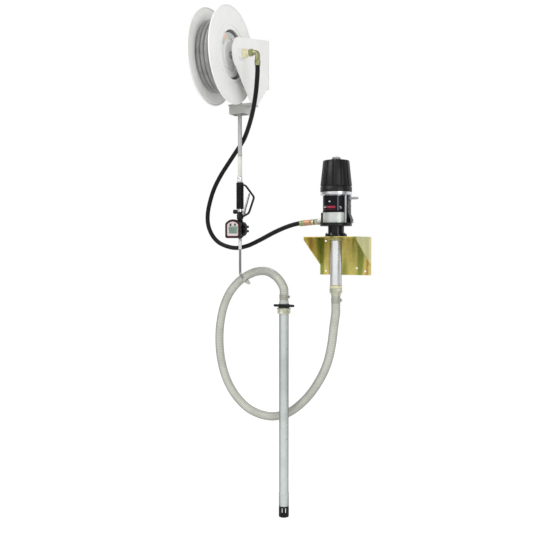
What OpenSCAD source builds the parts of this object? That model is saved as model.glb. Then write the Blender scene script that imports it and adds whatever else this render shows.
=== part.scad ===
// Wall-mounted pneumatic oil pump kit with suction pipe, hose reel and metered control gun.
// The origin is the centre of the wall bracket's bolt pattern, on the wall.
// The wall is the plane y = 0, the room is on the -y side, and z points up.

/* [Wall bracket] */
// Width of the bracket
bracket_w = 240; // [210:1:260]
// Height of the wall plate
bracket_h = 170; // [160:1:190]
// Depth of the shelf
shelf_depth = 210; // [200:1:220]
// Sheet thickness of the bracket
sheet_t = 3; // [2:0.5:4]
// Outer bend radius of the sheet
bend_r = 7; // [6:1:10]
// How far the side gussets reach down the wall plate
gusset_drop = 125; // [110:1:140]
// Height of the gussets at the shelf's front edge
gusset_nose = 14; // [10:1:20]
// Horizontal spacing of the wall bolts
bolt_dx = 186; // [176:1:192]
// Vertical spacing of the wall bolts
bolt_dz = 136; // [130:1:140]
// Bolt hole diameter
bolt_hole_d = 9; // [8:0.5:11]
// Spacing of the two spare holes
spare_dx = 108; // [90:1:120]
// Height of the spare holes above the lower edge
spare_up = 31; // [28:1:36]
// Distance of the pump axis from the wall
pump_out = 130; // [124:1:134]

/* [Pump body] */
// Diameter of the neck flange
neck_flange_d = 95; // [85:1:100]
// Thickness of the neck flange
neck_flange_h = 12; // [10:1:14]
// Diameter of the neck
neck_d = 70; // [66:1:76]
// Height of the neck above its flange
neck_h = 34; // [28:1:44]
// Diameter of the threaded spigot through the shelf
spigot_d = 57; // [55:1:60]
// How far the spigot reaches below the shelf
spigot_drop = 14; // [12:1:16]
// Diameter of the ring nut under the shelf
shelf_nut_d = 64; // [62:1:70]
// Height of the ring nut
shelf_nut_h = 13; // [10:1:15]
// Diameter of the motor's base flange
base_flange_d = 137; // [132:1:142]
// Thickness of the base flange
base_flange_h = 14; // [10:1:16]
// Height of the aluminium motor base
base_h = 47; // [44:1:52]
// Outer diameter of the air cylinder and the motor base
cyl_d = 114; // [110:1:116]
// Wall of the air cylinder
cyl_wall = 5; // [3:0.5:6]
// Height of the air cylinder
cyl_h = 71; // [68:1:90]
// Thickness of the head plate
head_h = 16; // [12:1:18]
// Height of the muffler cover
cover_h = 135; // [130:1:150]
// Height of the cover's smooth band
cover_band_h = 25; // [20:1:30]
// Top diameter of the cover
cover_top_d = 114; // [104:1:120]
// Wall of the cover
cover_wall = 4; // [3:0.5:5]
// Depth of the grooves between the cover's ribs
rib_depth = 5; // [3:0.5:5]
// Number of ribs on the cover
ribs = 12; // [8:1:16]
// Tie rod diameter
tie_rod_d = 9; // [7:0.5:9]

/* [Pump internals] */
// Piston rod diameter
rod_d = 14; // [12:1:16]
// Thickness of the air piston
air_piston_h = 14; // [12:1:16]
// Stroke of both pistons
stroke = 50; // [30:1:50]
// Diameter of the check ball in the pump piston
piston_ball_d = 22; // [20:1:24]
// Diameter of the foot valve's ball
foot_ball_d = 28; // [26:1:30]
// Lift of each check ball
ball_lift = 4; // [3:0.5:5]
// Diameter of the air spool
spool_d = 20; // [16:1:22]
// Travel of the air spool
spool_travel = 8; // [5:1:10]

/* [Pump stem] */
// Outer diameter of the stem tube
stem_d = 50; // [49:0.5:51]
// Wall of the stem tube
stem_wall = 2; // [1.5:0.5:2.5]
// How far the stem tube shows below the shelf before its collar
stem_drop = 209; // [195:1:225]
// Diameter of the inlet collar
inlet_d = 54; // [53:0.5:58]
// Height of the inlet collar
inlet_h = 36; // [30:1:40]

/* [Suction side] */
// Outer diameter of the suction hose
suction_d = 39; // [38:0.5:40]
// Bore of the suction hose
suction_bore = 32; // [31:0.5:33]
// Length of the tails that the suction hose is pushed on
tail_len = 50; // [45:1:50]
// Width of a hose clamp band
clamp_w = 24; // [18:1:28]
// Distance of the suction pipe's axis left of the pump axis
pipe_left = 245; // [240:1:250]
// Height of the suction pipe's hose collar below the bolt centre
pipe_collar_down = 200; // [196:1:204]
// Outer diameter of the suction pipe
pipe_d = 43; // [42:0.5:44]
// Wall of the suction pipe
pipe_wall = 1.5; // [1:0.5:2]
// Length of the suction pipe below its collar
pipe_len = 910; // [850:1:960]
// Length of the pipe's swaged lower end
swage_len = 56; // [40:1:70]
// Diameter of the foot strainer
foot_d = 46; // [46:0.5:50]
// Height of the foot strainer
foot_h = 49; // [44:1:60]
// Number of strainer slots
foot_slots = 8; // [6:1:10]
// Outer diameter of the drum bung's thread
bung_d = 59.6; // [59:0.1:60]
// Height of the bung's thread
bung_thread_h = 19; // [16:1:22]
// Height of the bung's rim
bung_rim_h = 7; // [5:1:9]
// Span of the bung's wing nut
wing_span = 100; // [94:1:104]
// Height of the bung's wing nut
wing_h = 11; // [9:1:12]
// How far the bung can slide down the pipe
bung_travel = 780; // [500:1:780]

/* [Delivery side] */
// Outer diameter of the delivery hose
delivery_d = 20; // [19:0.5:21]
// Bore of the delivery hose
delivery_bore = 12.7; // [12:0.1:13]
// Diameter of the outlet adapter
outlet_d = 23; // [21:1:26]
// Length of the outlet adapter
outlet_len = 48; // [44:1:52]
// Diameter of the crimped ferrule
ferrule_d = 27; // [25:1:29]
// Length of the crimped ferrule
ferrule_len = 58; // [50:1:62]
// Droop of the outlet below level, in degrees
outlet_droop = 4.5; // [4:0.5:5]
// Diameter of the air inlet's hose tail
air_tail_d = 12; // [10:1:13]
// Length of the air inlet beyond the air block
air_inlet_len = 40; // [34:1:46]

/* [Hose reel] */
// Distance of the reel's middle left of the pump axis
reel_left = 467; // [460:1:474]
// Distance of the reel's axle from the wall
reel_out = 300; // [290:1:310]
// Height of the reel's axle above the bolt centre
reel_up = 869; // [860:1:880]
// Flange diameter
flange_d = 420; // [410:1:430]
// Clear width between the flanges
drum_gap = 98; // [96:1:100]
// Flange sheet thickness
flange_t = 2; // [1.5:0.5:3]
// Diameter of the rolled edge of a flange
rolled_edge_d = 8; // [6:1:10]
// Diameter of the opening in the right flange
opening_d = 210; // [200:1:214]
// Outer diameter of the drum's barrel
barrel_d = 234; // [230:1:236]
// Outer diameter of the inner layers of hose
layers_d = 274; // [270:1:276]
// Outer diameter of the reel's hose
hose_d = 19; // [18:0.5:19]
// Axial step from turn to turn of the hose
hose_pitch = 19.5; // [19.5:0.1:20]
// Turns of hose in the outer layer
hose_turns = 2.75; // [1.75:1:2.75]
// Spring case diameter
spring_case_d = 190; // [180:1:200]
// Axle diameter
axle_d = 24; // [20:1:28]
// Thickness of the reel frame's plates
frame_t = 4; // [3:0.5:5]
// Width of the reel's wall plate
reel_plate_w = 138; // [130:1:150]
// Height of the reel's wall plate
reel_plate_h = 236; // [220:1:250]
// Horizontal spacing of the reel's wall bolts
reel_bolt_dx = 80; // [70:1:84]
// Vertical spacing of the reel's wall bolts
reel_bolt_dz = 180; // [170:1:200]
// Hole diameter of the reel's wall bolts
reel_bolt_d = 11; // [9:0.5:13]
// Diameter of the guide rollers
roller_d = 16; // [12:1:16]
// Width of the roller box
guide_box_w = 78; // [74:1:84]
// Height of the roller box
guide_box_h = 35; // [32:1:40]

/* [Control gun] */
// Height of the hose end at the gun above the bolt centre
gun_top = 359; // [355:1:363]
// Length of the swivel nut
swivel_h = 27; // [24:1:30]
// Diameter of the swivel nut
swivel_d = 24; // [22:1:26]
// Length of the grip sleeve
grip_h = 104; // [98:1:104]
// Diameter of the grip sleeve
grip_d = 34; // [29:1:35]
// Diameter of the gun's through tube
gun_tube_d = 19; // [18:0.5:20]
// Height of the valve block
valve_h = 24; // [22:1:25]
// Width of the valve block
valve_w = 19; // [18:0.5:20]
// Reach of the guard from the gun's axis
guard_reach = 71; // [68:1:76]
// Thickness of the guard bar
guard_t = 8; // [6:0.5:8]
// Length of the trigger lever from its pin
lever_len = 96; // [86:1:98]
// Thickness of the trigger lever
lever_t = 5; // [4:0.5:5]
// Resting angle of the lever from the gun's axis
lever_tilt = 16.9; // [16.5:0.1:18]

/* [Digital meter] */
// Width of the meter's face
meter_w = 76; // [74:1:80]
// Height of the meter
meter_h = 85; // [84:1:88]
// Offset of the meter's face left of the gun's axis
meter_left = 20; // [10:1:22]
// Depth of the meter in front of the gun's axis
meter_front = 36; // [34:1:38]
// Depth of the gear chamber
chamber_depth = 22; // [20:1:23]
// Long radius of the oval gears
gear_a = 14.6; // [14:0.1:14.6]
// Short radius of the oval gears
gear_b = 8.6; // [8:0.1:8.6]
// Diameter of the meter's buttons
button_d = 7; // [5:0.5:8]
// Travel of the meter's buttons
button_travel = 1.5; // [1:0.1:1.5]

/* [Nozzle] */
// Diameter of the nozzle tube
nozzle_d = 9; // [8:0.5:10]
// Straight length of the nozzle tube below its nut
nozzle_drop = 137; // [120:1:140]
// Bend angle of the nozzle
nozzle_bend = 54; // [45:1:56]
// Bend radius of the nozzle
nozzle_r = 35; // [30:1:40]
// Diameter of the nozzle tip
tip_d = 19; // [16:1:20]
// Length of the nozzle tip
tip_len = 36; // [30:1:40]

/* [Clearances] */
// Radial clearance of shafts, pins and pistons in their bores
run_gap = 0.05; // [0.02:0.01:0.1]
// Gap between faces that move past each other
face_gap = 0.3; // [0.3:0.05:0.5]

/* [Hidden] */
$fn = 64;

// Overrun of a cut past the face that it opens
over = 1;
// How far joined lengths of one piece run into each other
lap = 0.2;

// Heights of the pump's stack, from the shelf up
shelf_top = bracket_h / 2;
shelf_under = shelf_top - sheet_t;
flange_top = shelf_top + neck_flange_h;
neck_top = flange_top + neck_h;
band_top = neck_top + base_flange_h;
base_top = band_top + base_h;
cyl_top = base_top + cyl_h;
head_top = cyl_top + head_h;
cover_top = head_top + cover_h;
cover_band_top = head_top + cover_band_h;

// Bolts and holes of the bracket
stem_hole_d = spigot_d + over;

// Neck and stem
neck_bore_d = 40;
stem_seat_up = 12;
stem_top = shelf_top + stem_seat_up;
stem_bore_d = stem_d - 2 * stem_wall;
collar_top = shelf_top - stem_drop;
inlet_bottom = collar_top - inlet_h;
inlet_neck_d = 43;
inlet_neck_h = 12;
suction_top = inlet_bottom - inlet_neck_h;
stem_seat_depth = 16;
tail_d = suction_bore;
tail_wall = 3;
foot_seat_d = 22;
foot_cage_h = 10;

// Air motor
cyl_bore_d = cyl_d - 2 * cyl_wall;
piston_rest_gap = (cyl_h - air_piston_h - stroke) / 2;
air_piston_bottom = base_top + piston_rest_gap;
packing_h = 8;
pump_piston_h = 42;
pump_piston_gap = 3;
foot_seat_z = collar_top - stem_seat_depth;
pump_piston_bottom = foot_seat_z + foot_cage_h + foot_ball_d + ball_lift + pump_piston_gap;
spool_len = 40;
spool_rest_gap = 1;
spool_bottom_drop = 10;
spool_groove_shares = [0.25, 0.65];
spool_groove_share = 0.15;
sleeve_wall = 8;
sleeve_top = head_top + spool_len + spool_travel + 2 * spool_rest_gap - spool_bottom_drop;
spool_bottom = head_top - spool_bottom_drop + spool_rest_gap;
sleeve_lid = 8;
rod_angles = [-30, 30, 90, 150];
rod_circle_r = cyl_d / 2 + tie_rod_d / 2 + face_gap;
outlet_pad_w = 40;
outlet_pad_out = 5;

// Air block on the right of the motor
block_w = 44;
block_out = 60;
block_foot_out = 72;
block_foot_h = 24;
block_lean = 4;
block_face_angle = 28;
air_inlet_down = 13;

// Muffler cover
cover_foot_r = base_flange_d / 2;
groove_w = 7;
groove_ring_h = 3;
rib_turn = -66;
cover_boss_d = 46;
cover_boss_h = 4;
bolt_shank_d = 10;
bolt_head_d = 32;
bolt_head_h = 8;
bolt_dome_h = 4;
bolt_engage = 6;
bolt_dome_shares = [0.8, 0.5];

// Outlet
outlet_up = 8;
outlet_z = band_top + outlet_up;
outlet_start = [-(cyl_d / 2 + outlet_pad_out), -pump_out, outlet_z];
insert_wall = 2;
hose_in_ferrule = 46;

// Suction pipe
pipe_top = -pipe_collar_down;
pipe_collar_h = 16;
pipe_collar_d = 44;
tube_top = pipe_top - pipe_collar_h;
pipe_end = tube_top - pipe_len;
wing_top = tube_top - face_gap;
wing_sleeve_d = 50;
wing_sleeve_h = 16;
wing_hub_d = 58;
wing_w = 14;
bung_gap = 4;
bung_top = wing_top - wing_h - bung_gap;
bung_rim_d = 63;
bung_bottom = bung_top - bung_rim_h - bung_thread_h;
foot_wall = 2.5;
foot_slot_w = 5;
foot_slot_margin = 7;
foot_socket = 10;
clamp_t = 1.5;
clamp_inset = 6;
clamp_screw_d = 8;
clamp_screw_len = 22;
clamp_lug_w = 12;
clamp_side = [0.91, 0.41];

// Reel
reel_centre = [-reel_left, -reel_out, reel_up];
wind_r = layers_d / 2 + hose_d / 2 + face_gap;
wind_start_x = -(drum_gap / 2 - hose_d / 2 - 3 * face_gap);
wind_end_x = wind_start_x + hose_pitch * hose_turns;
gun_x = -reel_left + wind_end_x;
gun_out = reel_out - wind_r;
rings_per_turn = 24;
hose_sides = 8;
delivery_sides = 10;
suction_sides = 12;
far_steps = 18;
hub_wall = 6;
barrel_wall = 2;
case_wall = 2;
case_inset = 5;
case_left = -drum_gap / 2 + case_inset;
case_right = 34;
case_cap_share = 0.72;
spring_bore_share = 0.6;
hub_right = 40;
arm_gap = 36;
arm_left = drum_gap / 2 + arm_gap;
boss_d = 46;
boss_len = 17;
boss_right = arm_left + frame_t + boss_len;
arm_corner = 10;
arm_front_step = 4;
arm_under_angle = 34;
arm_r = 70;
washer_d = 40;
washer_h = 6;
spacer_d = 32;
lip_h = 4;
ridge_w = 8;
ridge_h = 2;
swivel_len = 28;
swivel_big_len = 16;
swivel_big_d = 40;
swivel_small_d = 30;
elbow_d = 22;
elbow_nut_d = 32;
elbow_nut_h = 18;
elbow_bend_r = 14;
elbow_span = 35;
elbow_tail = 3;
elbow_drop = 59;
elbow_bore_d = 12;
delivery_start_x = -reel_left + boss_right + swivel_len + elbow_span + elbow_tail;
delivery_top = reel_up - elbow_drop;
plate_past_arm = 2;
plate_rise = 21;
plate_bolts_left = 10;
reel_plate_right = -reel_left + arm_left + frame_t + plate_past_arm;
reel_plate_mid = reel_up + plate_rise;

// Hose guide under the reel
guide_plate_t = 7;
guide_rise = 21;
guide_top = reel_up - flange_d / 2 + guide_rise;
guide_plate_left = 40;
guide_plate_right = 75;
guide_plate_deep = 74;
guide_wall = 3;
guide_box_deep = 62;
roller_gap = 1;
roller_pin_d = 6;
roller_len = guide_box_w - 2 * guide_wall - 2 * face_gap;
roller_y = hose_d / 2 + roller_gap + roller_d / 2;
roller_z = guide_top - guide_plate_t - guide_box_h / 2;

// Gun heights, from the hose down
swivel_bottom = gun_top - swivel_h;
guard_ring_h = 15.4;
guard_ring_top = swivel_bottom - face_gap;
grip_top = guard_ring_top - guard_ring_h;
grip_bottom = grip_top - grip_h;
valve_bottom = grip_bottom - valve_h;
guard_low_h = 22;
meter_top = valve_bottom - guard_low_h - over;
meter_bottom = meter_top - meter_h;
inlet_tail_d = 16;
inlet_tail_h = 12;
low_tube_d = 18;
port_depth = 8;
lever_w = 14;
lever_pin_d = 5;
lever_boss_d = 9;
lever_pin_out = 10.5;
lever_pin_up = 3;
lever_pin_x = valve_w / 2 + lever_pin_out;
lever_pin_z = valve_bottom + lever_pin_up;
lug_t = 3;
lug_h = 7;
valve_deep = 26;
stem_arm = 9.5;
valve_stem_d = 6;
valve_stem_z = lever_pin_z + stem_arm;
poppet_d = 9;
poppet_h = 3.5;
poppet_left = 14;
cap_d = 20;
cap_len = 23;
cap_wall = 2;
guard_w = 10;
guard_shares = [[0.20, 1.0], [0.40, 0.97], [1, 0.60], [0.62, 0.105], [0.19, 0]];
guard_span = 145;
guard_foot_drop = 11;
guard_low_d = 30;
guard_foot = valve_bottom - guard_foot_drop;
grip_groove_step = 8;
grip_groove_w = 2;
grip_groove_d = 1;

// Meter
arch_r = 46;
corner_r = 8;
bezel_depth = 14;
bezel_wall = 3;
bezel_lip = 9;
lip_t = 2;
face_t = 2;
front_block_back = 6;
case_r = 22;
case_back = 25;
cover_t = 6;
chamber_front = 3;
gear_gap = 0.6;
gear_pin_d = 6;
gear_points = 48;
gear_mesh_gap = 0.8;
gear_drop = 0.5;
gear_dz = (gear_a + gear_b + gear_mesh_gap) / 2;
gear_mid = meter_bottom + meter_h / 2 - gear_drop;
port_bore_d = 10;
top_port_d = 26;
low_port_d = 22;
lobe_d = 10;
lobe_x = 25;
lobe_dz = 10;
screw_d = 5;
screw_h = 3;
window_w = 43;
window_h = 32;
window_up = 21;
window_right = 2;
button_up = 60;
button_dx = 11;
button_proud = 1.6;
button_len = 4.6;
button_hole_gap = 0.3;

// Nozzle
nut_d = 17.3;
nut_h = 16;
nipple_d = 14;
nozzle_wall = 1.5;
tip_stub = 6;
tip_nose = 10;

// Routes of the free hoses, chosen by hand
delivery_route = [
  [-298, -298, 755], [-312, -280, 705], [-345, -236, 646], [-393, -176, 589], [-448, -124, 528],
  [-493, -112, 477], [-538, -104, 425], [-580, -100, 371], [-614, -100, 312], [-636, -100, 252],
  [-648, -100, 196], [-646, -101, 148], [-627, -102, 101], [-594, -104, 66], [-548, -107, 45],
  [-495, -110, 36], [-437, -113, 45], [-369, -118, 72], [-291, -124, 108], [-226, -129, 132]
];
suction_route = [
  [-9, -127, -300], [-24, -117, -390], [-49, -104, -475], [-94, -90, -560], [-165, -74, -650],
  [-258, -62, -722], [-351, -58, -745], [-444, -58, -724], [-504, -58, -682], [-549, -58, -628],
  [-580, -58, -568], [-602, -58, -489], [-610, -58, -403], [-604, -58, -317], [-582, -58, -230],
  [-544, -60, -163], [-486, -66, -109], [-408, -78, -74], [-339, -98, -72], [-284, -119, -97],
  [-254, -129, -128]
];

// Places on a lead
function unit(v) = v / norm(v);
function tangent(pts, i) =
  unit(pts[min(i + 1, len(pts) - 1)] - pts[max(i - 1, 0)]);
function side(t, up) = unit(up - (up * t) * t);
function ring(p, t, up, r, n) =
  let (a = side(t, up), b = cross(t, a))
  [for (j = [0:n - 1]) p + r * (cos(360 * j / n) * a + sin(360 * j / n) * b)];
function quad(a, b, c, d) = [[a, d, c], [a, c, b]];

// A solid tube along points, with flat ends
module lead(pts, d, n, up) {
  m = len(pts);
  rings = [for (i = [0:m - 1]) each ring(pts[i], tangent(pts, i), up, d / 2, n)];
  sides = [for (i = [0:m - 2], j = [0:n - 1])
    each quad(i * n + j, i * n + (j + 1) % n, (i + 1) * n + (j + 1) % n, (i + 1) * n + j)];
  first = [for (j = [1:n - 2]) [0, j, j + 1]];
  last = [for (j = [1:n - 2]) [(m - 1) * n, (m - 1) * n + j + 1, (m - 1) * n + j]];
  polyhedron(points = rings, faces = concat(sides, first, last));
}

// A hollow hose along points, whose bore clears a round tail
module hose(pts, d, bore, n, up) {
  m = len(pts);
  r_in = (bore / 2 + run_gap) / cos(180 / n);
  outer = [for (i = [0:m - 1]) each ring(pts[i], tangent(pts, i), up, d / 2, n)];
  inner = [for (i = [0:m - 1]) each ring(pts[i], tangent(pts, i), up, r_in, n)];
  k = m * n;
  skin = [for (i = [0:m - 2], j = [0:n - 1])
    each quad(i * n + j, i * n + (j + 1) % n, (i + 1) * n + (j + 1) % n, (i + 1) * n + j)];
  bore_skin = [for (i = [0:m - 2], j = [0:n - 1])
    each quad(k + i * n + (j + 1) % n, k + i * n + j, k + (i + 1) * n + j,
      k + (i + 1) * n + (j + 1) % n)];
  first = [for (j = [0:n - 1]) each quad(k + j, k + (j + 1) % n, (j + 1) % n, j)];
  e = (m - 1) * n;
  last = [for (j = [0:n - 1])
    each quad(e + j, e + (j + 1) % n, k + e + (j + 1) % n, k + e + j)];
  polyhedron(points = concat(outer, inner), faces = concat(skin, bore_skin, first, last));
}

module at_pump() {
  translate([0, -pump_out, 0]) children();
}

module at_pipe() {
  translate([-pipe_left, -pump_out, 0]) children();
}

module at_reel() {
  translate(reel_centre) rotate([0, 90, 0]) children();
}

module at_gun() {
  translate([gun_x, -gun_out, 0]) children();
}

module tube(z0, z1, d_out, d_in) {
  translate([0, 0, z0]) difference() {
    cylinder(h = z1 - z0, d = d_out);
    translate([0, 0, -over]) cylinder(h = z1 - z0 + 2 * over, d = d_in);
  }
}

module rod(z0, z1, d) {
  translate([0, 0, z0]) cylinder(h = z1 - z0, d = d);
}

// An outline in x and z, carried from y0 toward the front by depth
module front_plate(y0, depth) {
  translate([0, y0, 0]) rotate([90, 0, 0]) linear_extrude(depth) children();
}

module bolt_holes(dx, dz, d) {
  for (x = [-dx / 2, dx / 2], z = [-dz / 2, dz / 2])
    translate([x, over, z]) rotate([90, 0, 0]) cylinder(h = sheet_t + frame_t + 2 * over, d = d);
}

// Wall bracket: plate and shelf folded from one sheet, with two gussets
module fold_profile() {
  difference() {
    union() {
      translate([-shelf_depth, shelf_under]) square([shelf_depth - bend_r, sheet_t]);
      translate([-sheet_t, -bracket_h / 2]) square([sheet_t, bracket_h - bend_r]);
      translate([-bend_r, shelf_top - bend_r]) intersection() {
        circle(r = bend_r);
        square(bend_r);
      }
    }
    translate([-bend_r, shelf_top - bend_r]) circle(r = bend_r - sheet_t);
  }
}

module gusset_profile() {
  polygon([
    [-shelf_depth, shelf_under], [-shelf_depth, shelf_top - gusset_nose],
    [-sheet_t, shelf_top - gusset_drop], [-sheet_t, shelf_under]
  ]);
}

module side_on(x0, w) {
  translate([x0, 0, 0]) rotate([90, 0, 90]) linear_extrude(w) children();
}

module wall_bracket() {
  color("goldenrod") difference() {
    union() {
      side_on(-bracket_w / 2, bracket_w) fold_profile();
      side_on(-bracket_w / 2, sheet_t) gusset_profile();
      side_on(bracket_w / 2 - sheet_t, sheet_t) gusset_profile();
    }
    bolt_holes(bolt_dx, bolt_dz, bolt_hole_d);
    translate([0, 0, spare_up - bracket_h / 2]) bolt_holes(spare_dx, 0, bolt_hole_d);
    at_pump() rod(shelf_under - over, shelf_top + over, stem_hole_d);
  }
}

module pump_neck() {
  color("#1c1c1e") at_pump() difference() {
    union() {
      rod(shelf_under - spigot_drop, shelf_top + over, spigot_d);
      rod(shelf_top, flange_top, neck_flange_d);
      rod(flange_top - over, neck_top, neck_d);
    }
    rod(shelf_under - spigot_drop - over, stem_top, stem_d);
    rod(stem_top - over, neck_top - packing_h, neck_bore_d);
    rod(neck_top - packing_h - over, neck_top + over, rod_d + 2 * run_gap);
  }
}

module shelf_nut() {
  color("#cfc9a4") at_pump() difference() {
    tube(shelf_under - shelf_nut_h, shelf_under, shelf_nut_d, spigot_d);
    for (a = [45:90:315]) rotate(a) translate([shelf_nut_d / 2, 0, shelf_under - shelf_nut_h / 2])
      cube([sheet_t, 2 * sheet_t, shelf_nut_h + 2 * over], center = true);
  }
}

module stem_tube() {
  color("#c9cccf") at_pump() tube(foot_seat_z, stem_top, stem_d, stem_bore_d);
}

module stem_inlet() {
  color("#b9b795") at_pump() difference() {
    union() {
      rod(inlet_bottom, collar_top, inlet_d);
      rod(suction_top, inlet_bottom + over, inlet_neck_d);
      rod(suction_top - tail_len, suction_top + over, tail_d);
    }
    rod(foot_seat_z, collar_top + over, stem_d);
    rod(foot_seat_z - over, foot_seat_z + over, foot_seat_d);
    rod(suction_top - tail_len - over, foot_seat_z, foot_seat_d);
  }
}

module base_flange() {
  color("#232325") at_pump() difference() {
    union() {
      rod(neck_top, band_top, base_flange_d);
      translate([-cyl_d / 2 - outlet_pad_out, -outlet_pad_w / 2, band_top - over])
        cube([outlet_pad_out + cyl_d / 4, outlet_pad_w, base_h - sheet_t + over]);
    }
    rod(band_top, base_top, cyl_d);
    rod(neck_top - over, band_top + over, rod_d + 2 * run_gap);
    translate([0, pump_out, 0]) outlet_frame()
      rod(0, outlet_len / 3, outlet_d + 4 * insert_wall + 2 * face_gap);
  }
}

module motor_base() {
  color("#cdd0cf") at_pump() difference() {
    rod(band_top, base_top, cyl_d);
    rod(band_top - over, base_top + over, rod_d + 2 * run_gap);
  }
}

module outlet_frame() {
  translate(outlet_start) rotate([0, -90 - outlet_droop, 0]) children();
}

module outlet_adapter() {
  color("#a9a88f") difference() {
    outlet_frame() union() {
      rod(-outlet_pad_out, over, outlet_d + 4 * insert_wall);
      rod(0, outlet_len / 3, outlet_d + 2 * insert_wall);
      rod(outlet_len / 3 - over, outlet_len, outlet_d);
      rod(outlet_len - over, outlet_len + ferrule_len - over, delivery_bore);
    }
    outlet_frame() rod(outlet_len / 2, outlet_len + ferrule_len, delivery_bore - 2 * insert_wall);
    at_pump() translate([-cyl_d / 2 - outlet_pad_out, -outlet_pad_w / 2, neck_top])
      cube([outlet_pad_out + cyl_d / 4, outlet_pad_w, base_h + base_flange_h]);
  }
}

module delivery_ferrule() {
  color("#c0a68e") outlet_frame() difference() {
    rod(outlet_len, outlet_len + ferrule_len, ferrule_d);
    rod(outlet_len - over, outlet_len + 2 * insert_wall, delivery_bore);
    rod(outlet_len + 2 * insert_wall, outlet_len + ferrule_len + over, delivery_d);
  }
}

function outlet_point(s) =
  outlet_start + s * [-cos(outlet_droop), 0, -sin(outlet_droop)];
delivery_points = concat(
  [[delivery_start_x, -reel_out, delivery_top], [delivery_start_x, -reel_out, delivery_top - delivery_d]],
  delivery_route,
  [outlet_point(outlet_len + ferrule_len + delivery_d / 2),
    outlet_point(outlet_len + ferrule_len - hose_in_ferrule)]
);

module delivery_hose() {
  color("#161617") hose(delivery_points, delivery_d, delivery_bore, delivery_sides, [0, 1, 0]);
}

module air_block() {
  color("#1f1f21") at_pump() difference() {
    translate([0, block_w / 2, 0]) front_plate(0, block_w) polygon([
      [cyl_d / 4, band_top], [block_foot_out, band_top],
      [block_foot_out, band_top + block_foot_h / 2], [block_out + block_lean, base_top - block_foot_h / 2],
      [block_out, base_top], [block_out, cyl_top], [cyl_d / 4, cyl_top]
    ]);
    rod(neck_top, cyl_top + over, cyl_d);
    for (s = [-1, 1]) translate([block_out, s * block_w / 2, band_top - over]) rotate(s * block_face_angle)
      translate([0, -block_w / 6, 0])
      cube([block_w, block_w / 3, cyl_top - band_top + 2 * over]);
    translate([block_out - insert_wall, 0, cyl_top - air_inlet_down]) rotate([0, 90, 0])
      rod(0, insert_wall + over, air_tail_d + 4 * insert_wall);
  }
}

module air_inlet() {
  color("#9a9c9e") at_pump() translate([block_out - insert_wall, 0, cyl_top - air_inlet_down])
    rotate([0, 90, 0]) difference() {
      union() {
        rod(0, air_inlet_len / 4, air_tail_d + 4 * insert_wall);
        rod(air_inlet_len / 4 - over, air_inlet_len / 2, air_tail_d - insert_wall);
        rod(air_inlet_len / 2 - over, air_inlet_len + insert_wall, air_tail_d);
      }
      rod(-over, air_inlet_len + 2 * insert_wall, air_tail_d - 3 * insert_wall);
    }
}

module air_cylinder() {
  color("#dfe1e2") at_pump() tube(base_top, cyl_top, cyl_d, cyl_bore_d);
}

module tie_rods() {
  color("#c6c9cb") at_pump() for (a = rod_angles) rotate(a) translate([rod_circle_r, 0, 0])
    rod(band_top, cyl_top, tie_rod_d);
}

module head_plate() {
  color("#d8dadb") at_pump() difference() {
    union() {
      rod(cyl_top, head_top, base_flange_d);
      rod(head_top - over, sleeve_top + sleeve_lid, spool_d + 2 * sleeve_wall);
    }
    rod(head_top - spool_bottom_drop, sleeve_top, spool_d + 2 * run_gap);
    rod(sleeve_top + sleeve_lid - bolt_engage, sleeve_top + sleeve_lid + over, bolt_shank_d);
    rod(cyl_top - over, head_top - spool_bottom_drop + over, rod_d);
  }
}

module cover_shape(z0, z1, inset) {
  rise = cover_top - cover_band_top;
  r0 = cover_foot_r - inset;
  r1 = cover_top_d / 2 - inset;
  translate([0, 0, z0]) cylinder(h = cover_band_top - z0, r = r0);
  translate([0, 0, cover_band_top])
    cylinder(h = z1 - cover_band_top, r1 = r0, r2 = r0 + (r1 - r0) * (z1 - cover_band_top) / rise);
}

module muffler_cover() {
  lean = atan((cover_foot_r - cover_top_d / 2) / (cover_top - cover_band_top));
  color("#28292b") at_pump() difference() {
    union() {
      cover_shape(head_top, cover_top, 0);
      rod(cover_top - over, cover_top + cover_boss_h, cover_boss_d);
    }
    cover_shape(head_top - over, cover_top - cover_wall - rib_depth, cover_wall + rib_depth);
    rod(cover_top - cover_wall - rib_depth - over, cover_top + cover_boss_h + over, bolt_shank_d);
    for (i = [0:ribs - 1]) rotate(360 * (i + 0.5) / ribs + rib_turn)
      translate([cover_foot_r, 0, cover_band_top]) rotate([0, -lean, 0])
      translate([-rib_depth, -groove_w / 2, 0]) cube([2 * rib_depth, groove_w, cover_h]);
    tube(cover_band_top, cover_band_top + groove_ring_h, 2 * cover_foot_r + over,
      2 * (cover_foot_r - rib_depth));
  }
}

module cover_bolt() {
  z0 = cover_top + cover_boss_h;
  color("#b9bcbf") at_pump() {
    rod(sleeve_top + sleeve_lid - bolt_engage, z0 + over, bolt_shank_d);
    translate([0, 0, z0]) cylinder(h = bolt_head_h, d = bolt_head_d, $fn = 6);
    translate([0, 0, z0 + bolt_head_h - over])
      cylinder(h = bolt_dome_h, d1 = bolt_head_d * bolt_dome_shares[0],
        d2 = bolt_head_d * bolt_dome_shares[1]);
  }
}

module piston_rod() {
  color("#d4d7d9") at_pump()
    rod(pump_piston_bottom + pump_piston_h, air_piston_bottom + air_piston_h, rod_d);
}

module air_piston() {
  color("#8f9396") at_pump()
    tube(air_piston_bottom, air_piston_bottom + air_piston_h, cyl_bore_d - 2 * run_gap, rod_d);
}

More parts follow.
